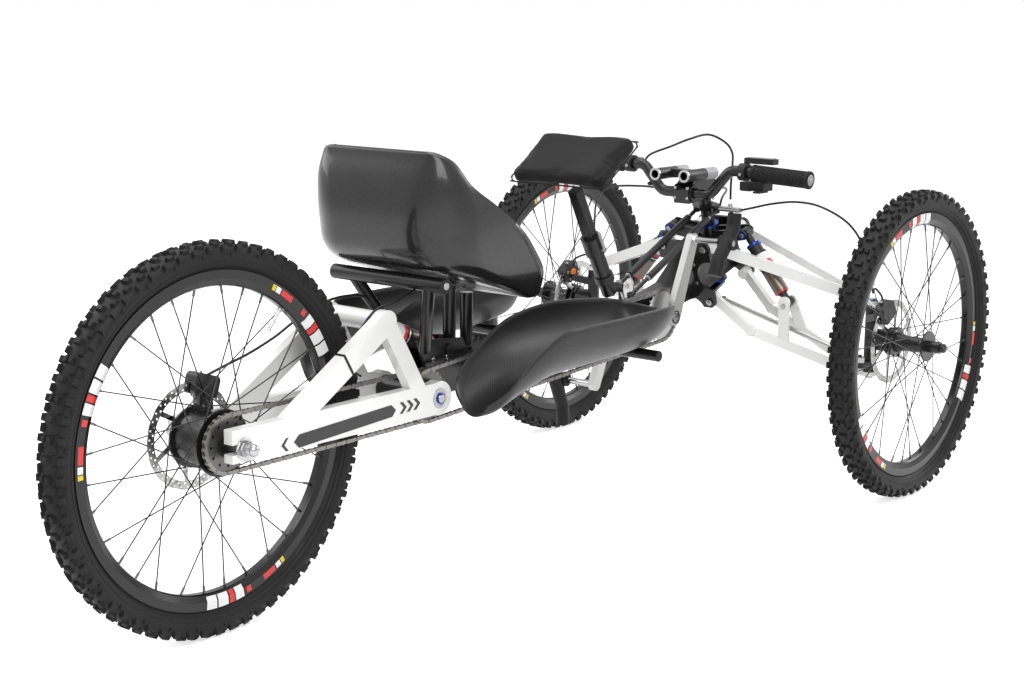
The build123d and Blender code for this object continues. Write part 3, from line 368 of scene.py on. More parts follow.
def make_tyre(wheel):
    """Casing with staggered centre knobs, chevron shoulder knobs and ramped edge knobs."""
    hub = HUBS[wheel]
    tyre = Maker(f"{wheel}_knobby_tyre", WHEEL_BODIES[wheel], RUBBER, 40.0)
    half = [(0.0115, 0.0016), (0.0117, 0.0086), (0.0165, 0.0125), (0.0225, 0.0185),
            (0.0262, 0.0255), (0.0268, 0.0325), (0.0248, 0.0395), (0.0205, 0.0446),
            (0.0140, 0.0478), (0.0070, 0.0492), (0.0, 0.0496)]
    outer = [(y, BEAD + h) for y, h in half] + [(-y, BEAD + h) for y, h in reversed(half[:-1])]
    inner = [(-0.0095, BEAD + 0.0016), (0.0095, BEAD + 0.0016)]
    tyre.lathe(hub, SIDEWAYS, outer + inner, 140, closed=True)
    # moulding lines low on the sidewalls
    for side in (1, -1):
        for y, h in ((0.0196, 0.0148), (0.0247, 0.0212)):
            tyre.ring(hub + SIDEWAYS * side * y, SIDEWAYS, BEAD + h, BEAD + h + 0.0016, 0.0012, 96)

    def knob(angle, y, length, width, low, high, tilt, skew=0.0):
        """Tapered block: angle round the wheel, y across it, tilted to stand on the casing."""
        radial, around = ray(angle), ray(angle + math.pi / 2)
        across = SIDEWAYS * math.cos(tilt) - radial * math.sin(tilt)
        rings = []
        for level, grow in ((low, 1.12), (high, 0.86)):
            base = hub + radial * (BEAD + level[0]) + SIDEWAYS * (y + level[1])
            rings.append([base + around * (a * length / 2 * grow + skew * b * width / 2)
                          + across * b * width / 2 * grow for a, b in SQUARE])
        tyre.skin(rings)

    pitch = 2 * math.pi / KNOB_ROWS
    for k in range(KNOB_ROWS):
        at = pitch * k
        if k % 2:
            for side in (1, -1):
                knob(at, side * 0.0068, 0.0105, 0.0085, (0.0485, 0), (0.0555, 0), side * 0.08,
                     side * 0.25)
        else:
            knob(at, 0.0, 0.0095, 0.0155, (0.049, 0), (0.0555, 0), 0.0)
        for side in (1, -1):
            knob(at + pitch * 0.5, side * 0.0165, 0.0125, 0.0065, (0.045, 0),
                 (0.0528, side * 0.0016), side * 0.5, side * -0.3)
            high = 0.0468 if k % 2 else 0.0458
            knob(at + pitch * (0.02 if k % 2 else 0.0), side * 0.0232, 0.0125, 0.0095,
                 (0.0395, 0), (high, side * 0.0045), side * 0.98)
            if k % 2:
                knob(at + pitch * 0.5, side * 0.0256, 0.0065, 0.0065, (0.033, 0),
                     (0.0352, side * 0.0028), side * 1.4)
    tyre.done([f"{wheel}_tyre"])


def arc_band(maker, hub, y, inner, outer, start, stop, thickness=0.0004):
    """A stripe on the side of a rim, from start to stop in degrees; y and radius are pairs."""
    steps = max(int(abs(stop - start) / 3), 2)
    lift = SIDEWAYS * thickness
    rings = []
    for k in range(steps + 1):
        t = math.radians(start + (stop - start) * k / steps)
        low, high = round_point(hub, y[0], inner, t), round_point(hub, y[1], outer, t)
        rings.append((low, high, high + lift, low + lift))
    maker.skin(rings)


RIM_MARKS = (  # start and end in degrees, share of the wall it covers, film
    (0.0, 4.5, 1.0, "white"), (5.2, 9.7, 1.0, "white"), (10.4, 12.6, 1.0, "red"),
    (13.2, 17.0, 1.0, "white"), (18.4, 20.6, 0.8, "red"), (27.0, 33.0, 0.75, "red"),
    (33.6, 36.0, 0.75, "white"), (36.4, 38.0, 0.75, "yellow"),
)
FILMS = {"white": WHITE_FILM, "red": RED_FILM, "yellow": YELLOW_FILM}


def make_rim_marks(wheel, phase):
    """Three groups of plain stripes on both walls of a rim, turned by phase in degrees."""
    hub = HUBS[wheel]
    low, high = BEAD - 0.0075, BEAD + 0.0062
    for colour, film in FILMS.items():
        marks = Maker(f"{wheel}_rim_marks_{colour}", WHEEL_BODIES[wheel], film)
        for group in range(3):
            for start, stop, share, kind in RIM_MARKS:
                if kind != colour:
                    continue
                for side in (1, -1):
                    base = phase + group * 120.0
                    wall, foot = side * 0.0149 - 0.0002, side * 0.0106 - 0.0002
                    arc_band(marks, hub, (wall, wall), low, low + (high - low) * share,
                             base + start, base + stop)
                    if share == 1.0:  # a full mark runs on down the slope below the wall
                        arc_band(marks, hub, (foot, wall), low - 0.0085, low,
                                 base + start, base + stop)
        marks.done()


NIPPLE_SEAT, SPOKE_LEAN, FLANGE_HOLES = 0.2588, 61.875, 16


def make_spokes(wheel, valve):
    """Laced spokes from both flanges, their nipples and heads, and the valve stem."""
    hub = HUBS[wheel]
    flanges = (((-0.027, 0.053), (0.0405, 0.053)) if wheel == "rear"
               else ((-0.0345, 0.029), (0.0345, 0.029)))
    spokes = Maker(f"{wheel}_spokes", WHEEL_BODIES[wheel], SPOKE_BLACK)
    nipples = Maker(f"{wheel}_nipples", WHEEL_BODIES[wheel], DARK_STEEL)
    heads = Maker(f"{wheel}_spoke_heads", WHEEL_BODIES[wheel], STEEL)
    for number, (flange_y, hole) in enumerate(flanges):
        for k in range(FLANGE_HOLES):
            lean = math.radians(SPOKE_LEAN if (k + number) % 2 else -SPOKE_LEAN)
            start_at = math.radians(k * 360 / FLANGE_HOLES)
            head_y = flange_y + (0.0022 if (k % 2) == (flange_y < 0) else 0.0)
            start = round_point(hub, head_y, hole, start_at)
            end = round_point(hub, (0.003 if number else -0.003), NIPPLE_SEAT, start_at + lean)
            along = (start - end).normalized()
            nipples.rod(end - along * 0.0005, end + along * 0.013, 0.0022, 8)
            spokes.rod(start, end, 0.0012, 8)
            heads.rod(start - SIDEWAYS * 0.0012, start + SIDEWAYS * 0.0012, 0.0023, 8)
    spokes.done()
    nipples.done()
    heads.done()
    inward = -ray(math.radians(valve))
    pegs(f"{wheel}_valve_stem", WHEEL_BODIES[wheel], ALLOY,
         (hub - inward * 0.2595, inward * 0.041, 0.0029, 12),
         (hub - inward * 0.256, inward * 0.0025, 0.0055, 16),
         (hub - inward * 0.2185, inward * 0.0055, 0.0036, 12))


ROTOR_RADIUS, ROTOR_BORE, WAVE_DEPTH, WAVES = 0.0925, 0.018, 0.0012, 18


def make_rotor(wheel, y, inboard):
    """Disc with two rows of holes, slanted arms and a black carrier with six bolts."""
    hub = HUBS[wheel]
    curve = bpy.data.curves.new(f"{wheel}_disc", "CURVE")
    curve.dimensions = "2D"
    curve.fill_mode = "BOTH"
    curve.extrude = 0.001

    def loop(points):
        line = curve.splines.new("POLY")
        line.points.add(len(points) - 1)
        for target, (u, v) in zip(line.points, points):
            target.co = (u, v, 0, 1)
        line.use_cyclic_u = True

    def polar(radius, degrees):
        t = math.radians(degrees)
        return radius * math.cos(t), radius * math.sin(t)

    loop([polar(ROTOR_RADIUS - WAVE_DEPTH * (0.5 - 0.5 * math.cos(math.radians(k * 4 * WAVES))),
                k * 4) for k in range(90)])
    loop([polar(ROTOR_BORE, k * 12) for k in range(30)])
    ring, carrier, arm_width, lean, steps = 0.0775, 0.027, 0.00455, 22.0, 8
    outside, inside = math.degrees(arm_width / ring), math.degrees(arm_width / carrier)
    for k in range(6):
        a, b = k * 60.0, (k + 1) * 60.0
        loop([polar(ring, a + lean + outside + (60 - 2 * outside) * i / steps)
              for i in range(steps + 1)]
             + [polar(carrier, b - inside - (60 - 2 * inside) * i / steps)
                for i in range(steps + 1)])
    for k in range(36):
        for row, turn, hole in ((0.0812, 0, 0.0021), (0.0877, 5, 0.0019)):
            across, up = polar(row, k * 10 + turn)
            loop([(across + u, up + v) for u, v in (polar(hole, j * 45) for j in range(8))])
    holder = new_object("disc_outline", curve)
    mesh = baked(holder)
    bpy.data.objects.remove(holder)
    mesh.transform(Matrix.Translation(hub + SIDEWAYS * y) @ Matrix.Rotation(math.pi / 2, 4, "X"))
    mesh.materials.clear()
    mesh.materials.append(DISC_STEEL)
    disc = new_object(f"{wheel}_disc", mesh)
    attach(disc, WHEEL_BODIES[wheel])
    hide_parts(f"{wheel}_rotor")
    Maker(f"{wheel}_disc_carrier", WHEEL_BODIES[wheel], BLACK_MATT).ring(
        hub + SIDEWAYS * (y + inboard * 0.0022), SIDEWAYS, 0.0182, 0.031, 0.0024, 40).done()
    pegs(f"{wheel}_disc_bolts", WHEEL_BODIES[wheel], STEEL,
         *((round_point(hub, y + inboard * 0.003, 0.0235, math.radians(k * 60 + 8)),
            SIDEWAYS * inboard * 0.0028, 0.0042, 10) for k in range(6)))


for wheel, phase, valve in (("rear", 24.0, 51.5), ("front_left", 80.0, 200.0),
                            ("front_right", -35.0, 150.0)):
    make_tyre(wheel)
    make_rim_marks(wheel, phase)
    make_spokes(wheel, valve)
make_rotor("rear", 0.052, 1)
make_rotor("front_left", -0.050, -1)
make_rotor("front_right", 0.050, 1)


# ---- chains
PITCH = 0.0127
LINK_END, LINK_WAIST, LINK_PLATE = 0.0040, 0.0030, 0.0008  # half heights and thickness


def pitch_radius(teeth):
    return PITCH / (2 * math.sin(math.pi / teeth))


def chain_path(rear, rear_teeth, front, front_teeth):
    """The chain's pins, one at every pitch round two cogs, in the XZ plane."""
    r1, r2 = pitch_radius(rear_teeth), pitch_radius(front_teeth)
    gap = front - rear
    span = math.hypot(gap.x, gap.z)
    slope = math.atan2(gap.z, gap.x)
    tilt = math.asin((r1 - r2) / span)
    run = math.sqrt(span * span - (r1 - r2) ** 2)
    up, down = slope + math.pi / 2 - tilt, slope - math.pi / 2 + tilt
    upper = (rear + ray(up) * r1, front + ray(up) * r2)
    lower = (front + ray(down) * r2, rear + ray(down) * r1)
    round_front = (math.pi - 2 * tilt) * r2
    round_rear = (math.pi + 2 * tilt) * r1
    total = 2 * run + round_front + round_rear
    count = round(total / PITCH / 2) * 2
    out = []
    for k in range(count):
        s = total * k / count
        if s < run:
            out.append(upper[0].lerp(upper[1], s / run))
        elif s < run + round_front:
            out.append(front + ray(up - (s - run) / r2) * r2)
        elif s < 2 * run + round_front:
            out.append(lower[0].lerp(lower[1], (s - run - round_front) / run))
        else:
            out.append(rear + ray(down - (s - 2 * run - round_front) / r1) * r1)
    return out


def make_chain(name, node, rear, rear_teeth, front, front_teeth, y):
    """Waisted side plates, narrow and wide by turns, with rollers and pins."""
    chain = Maker(name, "frame", CHAIN_STEEL)
    path = chain_path(rear, rear_teeth, front, front_teeth)
    for k, point in enumerate(path):
        here = Vector((point.x, y, point.z))
        following = path[(k + 1) % len(path)]
        along = Vector((following.x - point.x, 0, following.z - point.z))
        length = along.length
        along.normalize()
        up = Vector((-along.z, 0, along.x))
        centre = here + along * length / 2
        for side in (1, -1):
            shift = SIDEWAYS * side * (0.0031 if k % 2 else 0.0022)
            outline = []
            for end in (1, -1):
                for turn in (-80, -40, 0, 40, 80):
                    t = math.radians(turn)
                    outline.append(centre + along * end * (length / 2 + LINK_END * math.cos(t))
                                   + up * end * LINK_END * math.sin(t) + shift)
                outline.append(centre + up * end * LINK_WAIST + shift)
            chain.slab(outline, SIDEWAYS * side * LINK_PLATE)
        for reach, radius, sides in ((0.0022, 0.0038, 8), (0.0037, 0.0018, 6)):
            chain.lathe(here - SIDEWAYS * reach, SIDEWAYS, [(0, radius), (2 * reach, radius)],
                        sides)
    chain.done([node])


PIVOT = ahead(0.483, 0, 0.338)
BOTTOM_BRACKET = ahead(1.243, 0, 0.391)
make_chain("rear_chain_links", "rear_chain", HUBS["rear"], 24, PIVOT, 24, -0.040)
make_chain("front_chain_links", "front_chain", PIVOT, 24, BOTTOM_BRACKET, 28, -0.050)

# ---- seat and trays
SEAT = (  # spine x, z; rim x, z; half width; corner radius, in mm
    (404, 797, 412, 797, 112, 4), (400, 793, 418, 793, 134, 14),
    (396, 780, 440, 776, 153, 38), (384, 745, 465, 735.5, 172, 70),
    (377, 695, 520, 700, 178, 90), (380, 650, 565, 671, 180, 96),
    (392, 612, 605, 641, 179, 88), (428, 583, 640, 605, 176, 74),
    (505, 558, 672, 565, 170, 55), (610, 527, 676, 526, 160, 30),
    (655, 511, 672, 514, 154, 13),
)
TRAYS = (  # share of the length; |y|, z of inner rim, floor and outer rim, in mm
    (0.00, 172, 345, 200, 329, 230, 351), (0.035, 138, 366, 200, 331, 264, 380),
    (0.09, 122, 395, 200, 343, 278, 415), (0.16, 120, 425, 198, 357, 284, 443),
    (0.265, 118, 458, 197, 372, 286, 470), (0.37, 118, 478, 197, 377, 287, 473),
    (0.565, 118, 488, 198, 380, 287, 474), (0.81, 120, 478, 200, 387, 283, 475),
    (0.93, 128, 467, 200, 400, 264, 468), (0.975, 166, 459, 205, 418, 247, 460),
    (1.00, 193, 452, 212, 449, 231, 452),
)
TRAY_REAR, TRAY_FRONT = 0.438, 1.010
ARC_STEPS = 32


def seat_row(values):
    """One row across the bucket: flat back, rounded corner and side, mirrored."""
    back_x, back_z, rim_x, rim_z, half, corner = (v / 1000 for v in values)
    back, rim = ahead(back_x, 0, back_z), ahead(rim_x, 0, rim_z)
    deep = (rim - back).length
    forward = (rim - back).normalized()
    corner = min(corner, deep * 0.97)
    row = [(0.0, (half - corner) * k / 6) for k in range(6)]
    row += [(corner * (1 - math.cos(t)), half - corner * (1 - math.sin(t)))
            for t in (k * math.pi / 28 for k in range(15))]
    row += [(corner + (deep - corner) * k / 6, half) for k in range(1, 7)]
    left = [back + forward * s + SIDEWAYS * y for s, y in row]
    return [Vector((p.x, -p.y, p.z)) for p in reversed(left[1:])] + left


def tray_row(side, values):
    """One row across a tray: the circle through inner rim, floor and outer rim."""
    share, inner_y, inner_z, floor_y, floor_z, outer_y, outer_z = values
    a, b, c = ((inner_y, inner_z), (floor_y, floor_z), (outer_y, outer_z))
    d = 2 * (a[0] * (b[1] - c[1]) + b[0] * (c[1] - a[1]) + c[0] * (a[1] - b[1]))
    sq = [p[0] ** 2 + p[1] ** 2 for p in (a, b, c)]
    u = (sq[0] * (b[1] - c[1]) + sq[1] * (c[1] - a[1]) + sq[2] * (a[1] - b[1])) / d
    v = (sq[0] * (c[0] - b[0]) + sq[1] * (a[0] - c[0]) + sq[2] * (b[0] - a[0])) / d
    radius = math.hypot(a[0] - u, a[1] - v)
    start = math.atan2(a[1] - v, a[0] - u)
    sweep = (math.atan2(c[1] - v, c[0] - u) - start) % (2 * math.pi)
    x = TRAY_REAR + share * (TRAY_FRONT - TRAY_REAR)
    turns = (start + sweep * k / ARC_STEPS for k in range(ARC_STEPS + 1))
    return [ahead(x, side * (u + radius * math.cos(t)) / 1000, (v + radius * math.sin(t)) / 1000)
            for t in turns]


def make_shell(name, rows, mat, inward, replaced=(), thickness=0.0033):
    """A thin moulded skin with a rounded lip, and a UV map in metres for its weave."""
    count, width = len(rows), len(rows[0])

    def deeper(i, j):
        along = rows[min(i + 1, count - 1)][j] - rows[max(i - 1, 0)][j]
        across = rows[i][min(j + 1, width - 1)] - rows[i][max(j - 1, 0)]
        return rows[i][j] + across.cross(along).normalized() * inward * thickness

    inner = [[deeper(i, j) for j in range(width)] for i in range(count)]
    points = [p for skin in (rows, inner) for row in skin for p in row]
    size = count * width
    faces = []
    for i in range(count - 1):
        for j in range(width - 1):
            a, d = i * width + j, (i + 1) * width + j
            b, c = a + 1, d + 1
            faces.append((a, b, c, d))
            faces.append((a + size, d + size, c + size, b + size))
    edge = ([(i, 0) for i in range(count)] + [(count - 1, j) for j in range(1, width)]
            + [(i, width - 1) for i in range(count - 2, -1, -1)]
            + [(0, j) for j in range(width - 2, 0, -1)])
    lip = []
    for i, j in edge:
        inside = rows[min(max(i, 1), count - 2)][min(max(j, 1), width - 2)]
        away = (rows[i][j] - inside).normalized()
        lip.append((rows[i][j] + inner[i][j]) / 2 + away * 0.0014)
    base = len(points)
    points += lip
    for k in range(len(edge)):
        m = (k + 1) % len(edge)
        a, b = (i * width + j for i, j in (edge[k], edge[m]))
        faces.append((a, b, base + m, base + k))
        faces.append((base + k, base + m, b + size, a + size))
    shell = Maker(name, "frame", mat, 60.0)
    shell.add(points, faces)
    obj = shell.done(replaced)
    uv = obj.data.uv_layers.new(name="weave")
    middle = width // 2
    lengths = [[0.0, *accumulate((b - a).length for a, b in zip(row, row[1:]))] for row in rows]
    climb = [0.0, *accumulate((b[middle] - a[middle]).length for a, b in zip(rows, rows[1:]))]
    for poly in obj.data.polygons:
        for loop in poly.loop_indices:
            v = obj.data.loops[loop].vertex_index
            i, j = edge[v - base] if v >= base else divmod(v % size, width)
            uv.data[loop].uv = (lengths[i][j] - lengths[i][middle] + 1.0, climb[i] + 1.0)


make_shell("seat_bucket", [seat_row(v) for v in smooth(SEAT, 8)], SEAT_CARBON, -1, ["seat"])
tray_rows = smooth(TRAYS, 6)
make_shell("tray_shell_left", [tray_row(1, v) for v in tray_rows], TRAY_CARBON, -1)
make_shell("tray_shell_right", [tray_row(-1, v) for v in tray_rows], TRAY_CARBON, 1,
           ["leg_trays"])

# ---- chest pad
PAD_LOW, PAD_HIGH = ahead(0.913, 0, 0.707), ahead(1.037, 0, 0.792)
SLOPE = (PAD_HIGH - PAD_LOW).normalized()
INWARD = Vector((SLOPE.z, 0, -SLOPE.x))
PAD_MIDDLE = (PAD_LOW + PAD_HIGH) / 2
PAD_GRAIN, PAD_PRESSURE, PAD_FRAMES, PAD_SWELL = 0.005, 4.0, 20, 0.006
PAD_ACROSS, PAD_UP, PAD_CORNER, PAD_CORE = 0.097, 0.052, 0.022, 0.022


def make_pad():
    """Chest pad blown up as a stitched cover, then a welt round its edge."""
    outline = []
    for a, b, turn in ((1, 1, 0), (-1, 1, 90), (-1, -1, 180), (1, -1, 270)):
        for k in range(7):
            t = math.radians(turn + k * 15)
            outline.append((a * PAD_ACROSS + PAD_CORNER * math.cos(t),
                            b * PAD_UP + PAD_CORNER * math.sin(t)))
    core = Maker("chest_cushion", "chest_post", FABRIC, 180.0)
    core.slab([PAD_MIDDLE + SIDEWAYS * a + SLOPE * b for a, b in outline], INWARD * PAD_CORE)
    pad = core.done(["chest_pad"])
    bm = bmesh.new()
    bm.from_mesh(pad.data)
    bmesh.ops.triangulate(bm, faces=bm.faces)
    bm.to_mesh(pad.data)
    bm.free()
    grain = pad.modifiers.new("remesh", "REMESH")
    grain.mode = "VOXEL"
    grain.voxel_size = PAD_GRAIN
    mesh = baked(pad)
    pad.modifiers.clear()
    pad.data = mesh
    start = [v.co.copy() for v in mesh.vertices]
    cloth = pad.modifiers.new("cloth", "CLOTH")
    cloth.settings.use_pressure = True
    cloth.settings.uniform_pressure_force = PAD_PRESSURE
    cloth.settings.effector_weights.gravity = 0.0
    cloth.settings.quality = 5
    scene = bpy.context.scene
    for number in range(1, PAD_FRAMES + 1):
        scene.frame_set(number)
    graph = bpy.context.evaluated_depsgraph_get()
    blown = pad.evaluated_get(graph).to_mesh()
    ends = [v.co.copy() for v in blown.vertices]
    pad.evaluated_get(graph).to_mesh_clear()
    pad.modifiers.clear()
    scene.frame_set(1)
    for v, a, b in zip(mesh.vertices, start, ends):
        move = b - a
        v.co = a + move * min(1.0, PAD_SWELL / max(move.length, 1e-9))
    mesh.materials.clear()
    mesh.materials.append(FABRIC)
    mesh.polygons.foreach_set("use_smooth", [True] * len(mesh.polygons))
    pad.modifiers.new("smooth", "SUBSURF").render_levels = 1
    line = [PAD_MIDDLE + SIDEWAYS * a * 1.022 + SLOPE * b * 1.03 + INWARD * 0.016
            for a, b in outline]
    Maker("chest_pad_welt", "chest_post", FABRIC).pipe(line + [line[0]], 0.0016, 8).done()


make_pad()
plate = Maker("chest_pad_plate", "chest_post", BLACK_PAINT)
plate.block(PAD_MIDDLE + INWARD * 0.0255, SIDEWAYS * 0.060, SLOPE * 0.045, INWARD * 0.0025)
plate.block(PAD_MIDDLE + INWARD * 0.034, SIDEWAYS * 0.015, SLOPE * 0.022, INWARD * 0.0075)
plate.done()

# ---- swingarm trim
def chevron(x, z, size=0.0105, width=0.008):
    return ((x, z + size), (x + width, z + size), (x + width + size, z),
            (x + width, z - size), (x, z - size), (x + size, z))


BAND = (  # outlines of the film on the arm's side, x and z
    ((0.112, 0.324), (0.124, 0.3355), (0.352, 0.3475), (0.364, 0.3365), (0.354, 0.3255),
     (0.124, 0.3125)),
    chevron(0.374, 0.3375), chevron(0.392, 0.338), chevron(0.410, 0.3385),
    ((0.094, 0.3345), (0.100, 0.3345), (0.090, 0.323), (0.100, 0.3115), (0.094, 0.3115),
     (0.083, 0.323)),
)
for label, out in SIDES:
    film = Maker(f"swingarm_band_{label}", "frame", BLACK_FILM)
    for outline in BAND:
        film.slab([ahead(x, 0, z) + out * 0.0802 for x, z in outline], out * 0.0004)
    film.done()

for label, out in SIDES:
    Maker(f"pivot_ring_{label}", "frame", BLUE).ring(
        PIVOT + out * 0.0812, SIDEWAYS, 0.0082, 0.0108, 0.0024).done()
    cap = Maker(f"pivot_caps_{label}", "frame", STEEL)
    cap.peg(PIVOT + out * 0.0795, out * 0.006, 0.0082, 24)
    cap.ring(PIVOT + out * 0.0805, SIDEWAYS, 0.0135, 0.0185, 0.0016)
    cap.done()

nut = Maker("axle_nuts", "frame", CHROME)
for _, out in SIDES:
    nut.lathe(HUBS["rear"] + out * 0.0825, out,
              [(0, 0.0128), (0.001, 0.0135), (0.009, 0.0135), (0.0105, 0.0125)], 6)
    nut.ring(HUBS["rear"] + out * 0.0818, SIDEWAYS, 0.009, 0.0175, 0.002)
dome = [(0.0, 0.0105)] + [(0.010 + 0.010 * math.sin(math.radians(t)),
                           0.0108 * math.cos(math.radians(t))) for t in range(0, 90, 15)]
nut.lathe(HUBS["rear"] - SIDEWAYS * 0.092, -SIDEWAYS, dome, 20)
nut.done()
Maker("zip_ties", "frame", BLACK_PLASTIC).block(
    ahead(0.245, -0.070, 0.436), SIDEWAYS * 0.0112,
    Vector((-0.520, 0, 0.854)) * 0.0222, Vector((0.854, 0, 0.520)) * 0.0022).done()

# ---- shock absorbers
SHOCKS = {  # upper and lower eye
    "front_left": (head(0.100, 0.098, 0.063), ahead(1.502, 0.212, 0.406)),
    "front_right": (head(0.100, -0.098, 0.063), ahead(1.502, -0.212, 0.406)),
    "rear": (ahead(0.372, 0, 0.486), ahead(0.565, 0, 0.412)),
}
SLEEVES = (  # name, material if not the knob's, start and end as shares of the length, radius
    ("sleeve", BLACK_MATT, 0.30, 0.50, 0.0185), ("label", WHITE_FILM, 0.33, 0.43, 0.0189),
    ("label_red", RED_FILM, 0.43, 0.475, 0.01892), ("can", BRONZE, 0.515, 0.85, 0.0168),
    ("red_ring", RED, 0.85, 0.868, 0.0172), ("knob", None, 0.172, 0.205, 0.0169),
    ("collar", ALLOY, 0.498, 0.516, 0.0192),
)
SLEEVE_EASE = 0.0006
for name, (top, bottom) in SHOCKS.items():
    along = bottom - top
    knob_colour = RED if name == "rear" else BLUE
    for label, mat, start, stop, radius in SLEEVES:
        span = along.length * (stop - start)
        Maker(f"{name}_shock_{label}", "frame", mat or knob_colour).lathe(
            top + along * start, along,
            [(0, radius - SLEEVE_EASE), (SLEEVE_EASE, radius),
             (span - SLEEVE_EASE, radius), (span, radius - SLEEVE_EASE)], 40).done()
bolts = Maker("shock_bolts", "frame", STEEL)
for name, (top, bottom) in SHOCKS.items():
    rear = name == "rear"
    axis = SIDEWAYS if rear else FORWARD
    for end, reach in ((top, 0.0185), (bottom, 0.0185 if rear else 0.0215)):
        for turn in (axis, -axis):
            bolts.peg(end + turn * reach, turn * 0.004, 0.0065, 6)
bolts.done()

# ---- bulkhead, head and cranks
bolts = Maker("bulkhead_bolts", "frame", STEEL)
rings = Maker("bulkhead_rings", "frame", BLUE)
for _, out in SIDES:
    for y, u_rear, u_front in ((0.053, 0.065, 0.053), (0.048, -0.065, -0.063)):
        for s, u, turn in ((-0.0105, u_rear, -FORWARD), (0.1645, u_front, FORWARD)):
            spot = head(s, 0, u) + out * y
            bolts.peg(spot, turn * 0.005, 0.0075, 24)
            bolts.peg(spot, turn * 0.0075, 0.0042, 6)
    for u in (0.025, -0.02):
        bolts.peg(head(-0.0105, 0, u) + out * 0.022, FORWARD * -0.0035, 0.0045, 12)
for u in (0.0738, -0.0632):
    rings.ring(head(0.101, 0, u), UPWARD, 0.0145, 0.0225, 0.004, 40)
for _, out in SIDES:
    rings.ring(head(0.0815, 0, 0.063) + out * 0.098, FORWARD, 0.0085, 0.0115, 0.0015, 28)
bolts.done()
rings.done()

CRANK_ANGLES = (248, 68)  # left and right, in degrees
caps = Maker("crank_caps", "crank", CHROME)
dark = Maker("crank_inlays", "crank", BLACK_MATT)
for (_, out), angle in zip(SIDES, CRANK_ANGLES):
    face = BOTTOM_BRACKET + out * 0.087
    tip = face + ray(math.radians(angle)) * 0.175
    caps.peg(face, out * 0.002, 0.010, 24)
    caps.peg(tip - out * 0.001, out * 0.005, 0.0095, 6)
    caps.peg(tip, out * 0.0985, 0.00735, 20)
    dark.ring(face + out * 0.0004, SIDEWAYS, 0.0115, 0.0145, 0.001, 28)
caps.done()
dark.done()


# ---- handlebar
def blocks_on_grip(name, outer, inner, radius):
    """Rows of small blocks round a hand grip, and a collar at each end."""
    grip = Maker(name, "steering", GRIP_RUBBER)
    along = (inner - outer).normalized()
    first, second = square_to(along)
    length = (inner - outer).length
    rows, per_row = int(length / 0.0072), 14
    for i in range(rows):
        at = outer + along * (0.008 + i * (length - 0.016) / (rows - 1))
        for k in range(per_row):
            t = 2 * math.pi * (k + (i % 2) * 0.5) / per_row
            out = first * math.cos(t) + second * math.sin(t)
            around = second * math.cos(t) - first * math.sin(t)
            grip.block(at + out * radius, along * 0.0026, around * 0.0029, out * 0.0011)
    grip.ring(outer + along * 0.003, along, radius - 0.001, radius + 0.0022, 0.006, 40)
    grip.ring(inner - along * 0.003, along, radius - 0.001, radius + 0.0018, 0.005, 40)
    grip.done()


def boxes(name, mat, *rows):
    """Boxes beside the right grip: each middle measured from the clamp, then half sizes."""
    piece = Maker(name, "steering", mat)
    for x, y, z, *half in rows:
        piece.box(CLAMPS["right"] + Vector((x, y, z)), *half)
    piece.done()


BAR_X = 1.400
CLAMPS = {label: ahead(BAR_X, 0, 0.6975) + out * 0.150 for label, out in SIDES}
for label, out in SIDES:
    outer, inner = ahead(BAR_X, 0, 0.6907) + out * 0.312, ahead(BAR_X, 0, 0.6965) + out * 0.173
    blocks_on_grip(f"hand_grip_blocks_{label}", outer, inner, 0.017)
    along = (inner - outer).normalized()
    pegs(f"bar_end_{label}", "steering", ALLOY,
         (outer - along * 0.0022, along * 0.0032, 0.0115, 24),
         (outer - along * 0.0030, along * 0.0030, 0.0035, 6))
    clamp = CLAMPS[label]
    pegs(f"lever_fittings_{label}", "steering", STEEL,
         (clamp + Vector((0.030, 0, 0.008)), UPRIGHT * 0.0045, 0.0042, 12),
         (clamp + Vector((0.038, 0, 0.007)) - out * 0.004, UPRIGHT * 0.0045, 0.0036, 12),
         (clamp + Vector((-0.018, 0, -0.004)), LEVEL * -0.0025, 0.0036, 8))
clamp = CLAMPS["left"]
left = Maker("left_brake_lever", "steering", BLACK_PLASTIC)
left.ring(clamp, SIDEWAYS, 0.0127, 0.019, 0.018, 40)
left.box(clamp + Vector((0.030, 0, -0.001)), 0.014, 0.011, 0.008)
left.pipe([clamp + Vector(p) for p in ((0.038, -0.006, -0.004), (0.056, 0.004, -0.006),
                                       (0.062, 0.020, -0.008), (0.0605, 0.060, -0.010),
                                       (0.058, 0.110, -0.012))], 0.005, 12)
left.done()
boxes("shifter", BLACK_PLASTIC, (0.014, -0.022, -0.030, 0.019, 0.030, 0.009),
      (0.012, -0.034, 0.025, 0.012, 0.036, 0.006))
boxes("shifter_lid", GREY_PLASTIC, (0.012, -0.034, 0.0316, 0.009, 0.031, 0.0010))
boxes("shifter_tabs", BLACK_PLASTIC, (-0.012, -0.020, -0.036, 0.016, 0.011, 0.002),
      (-0.004, -0.044, -0.040, 0.018, 0.008, 0.002))

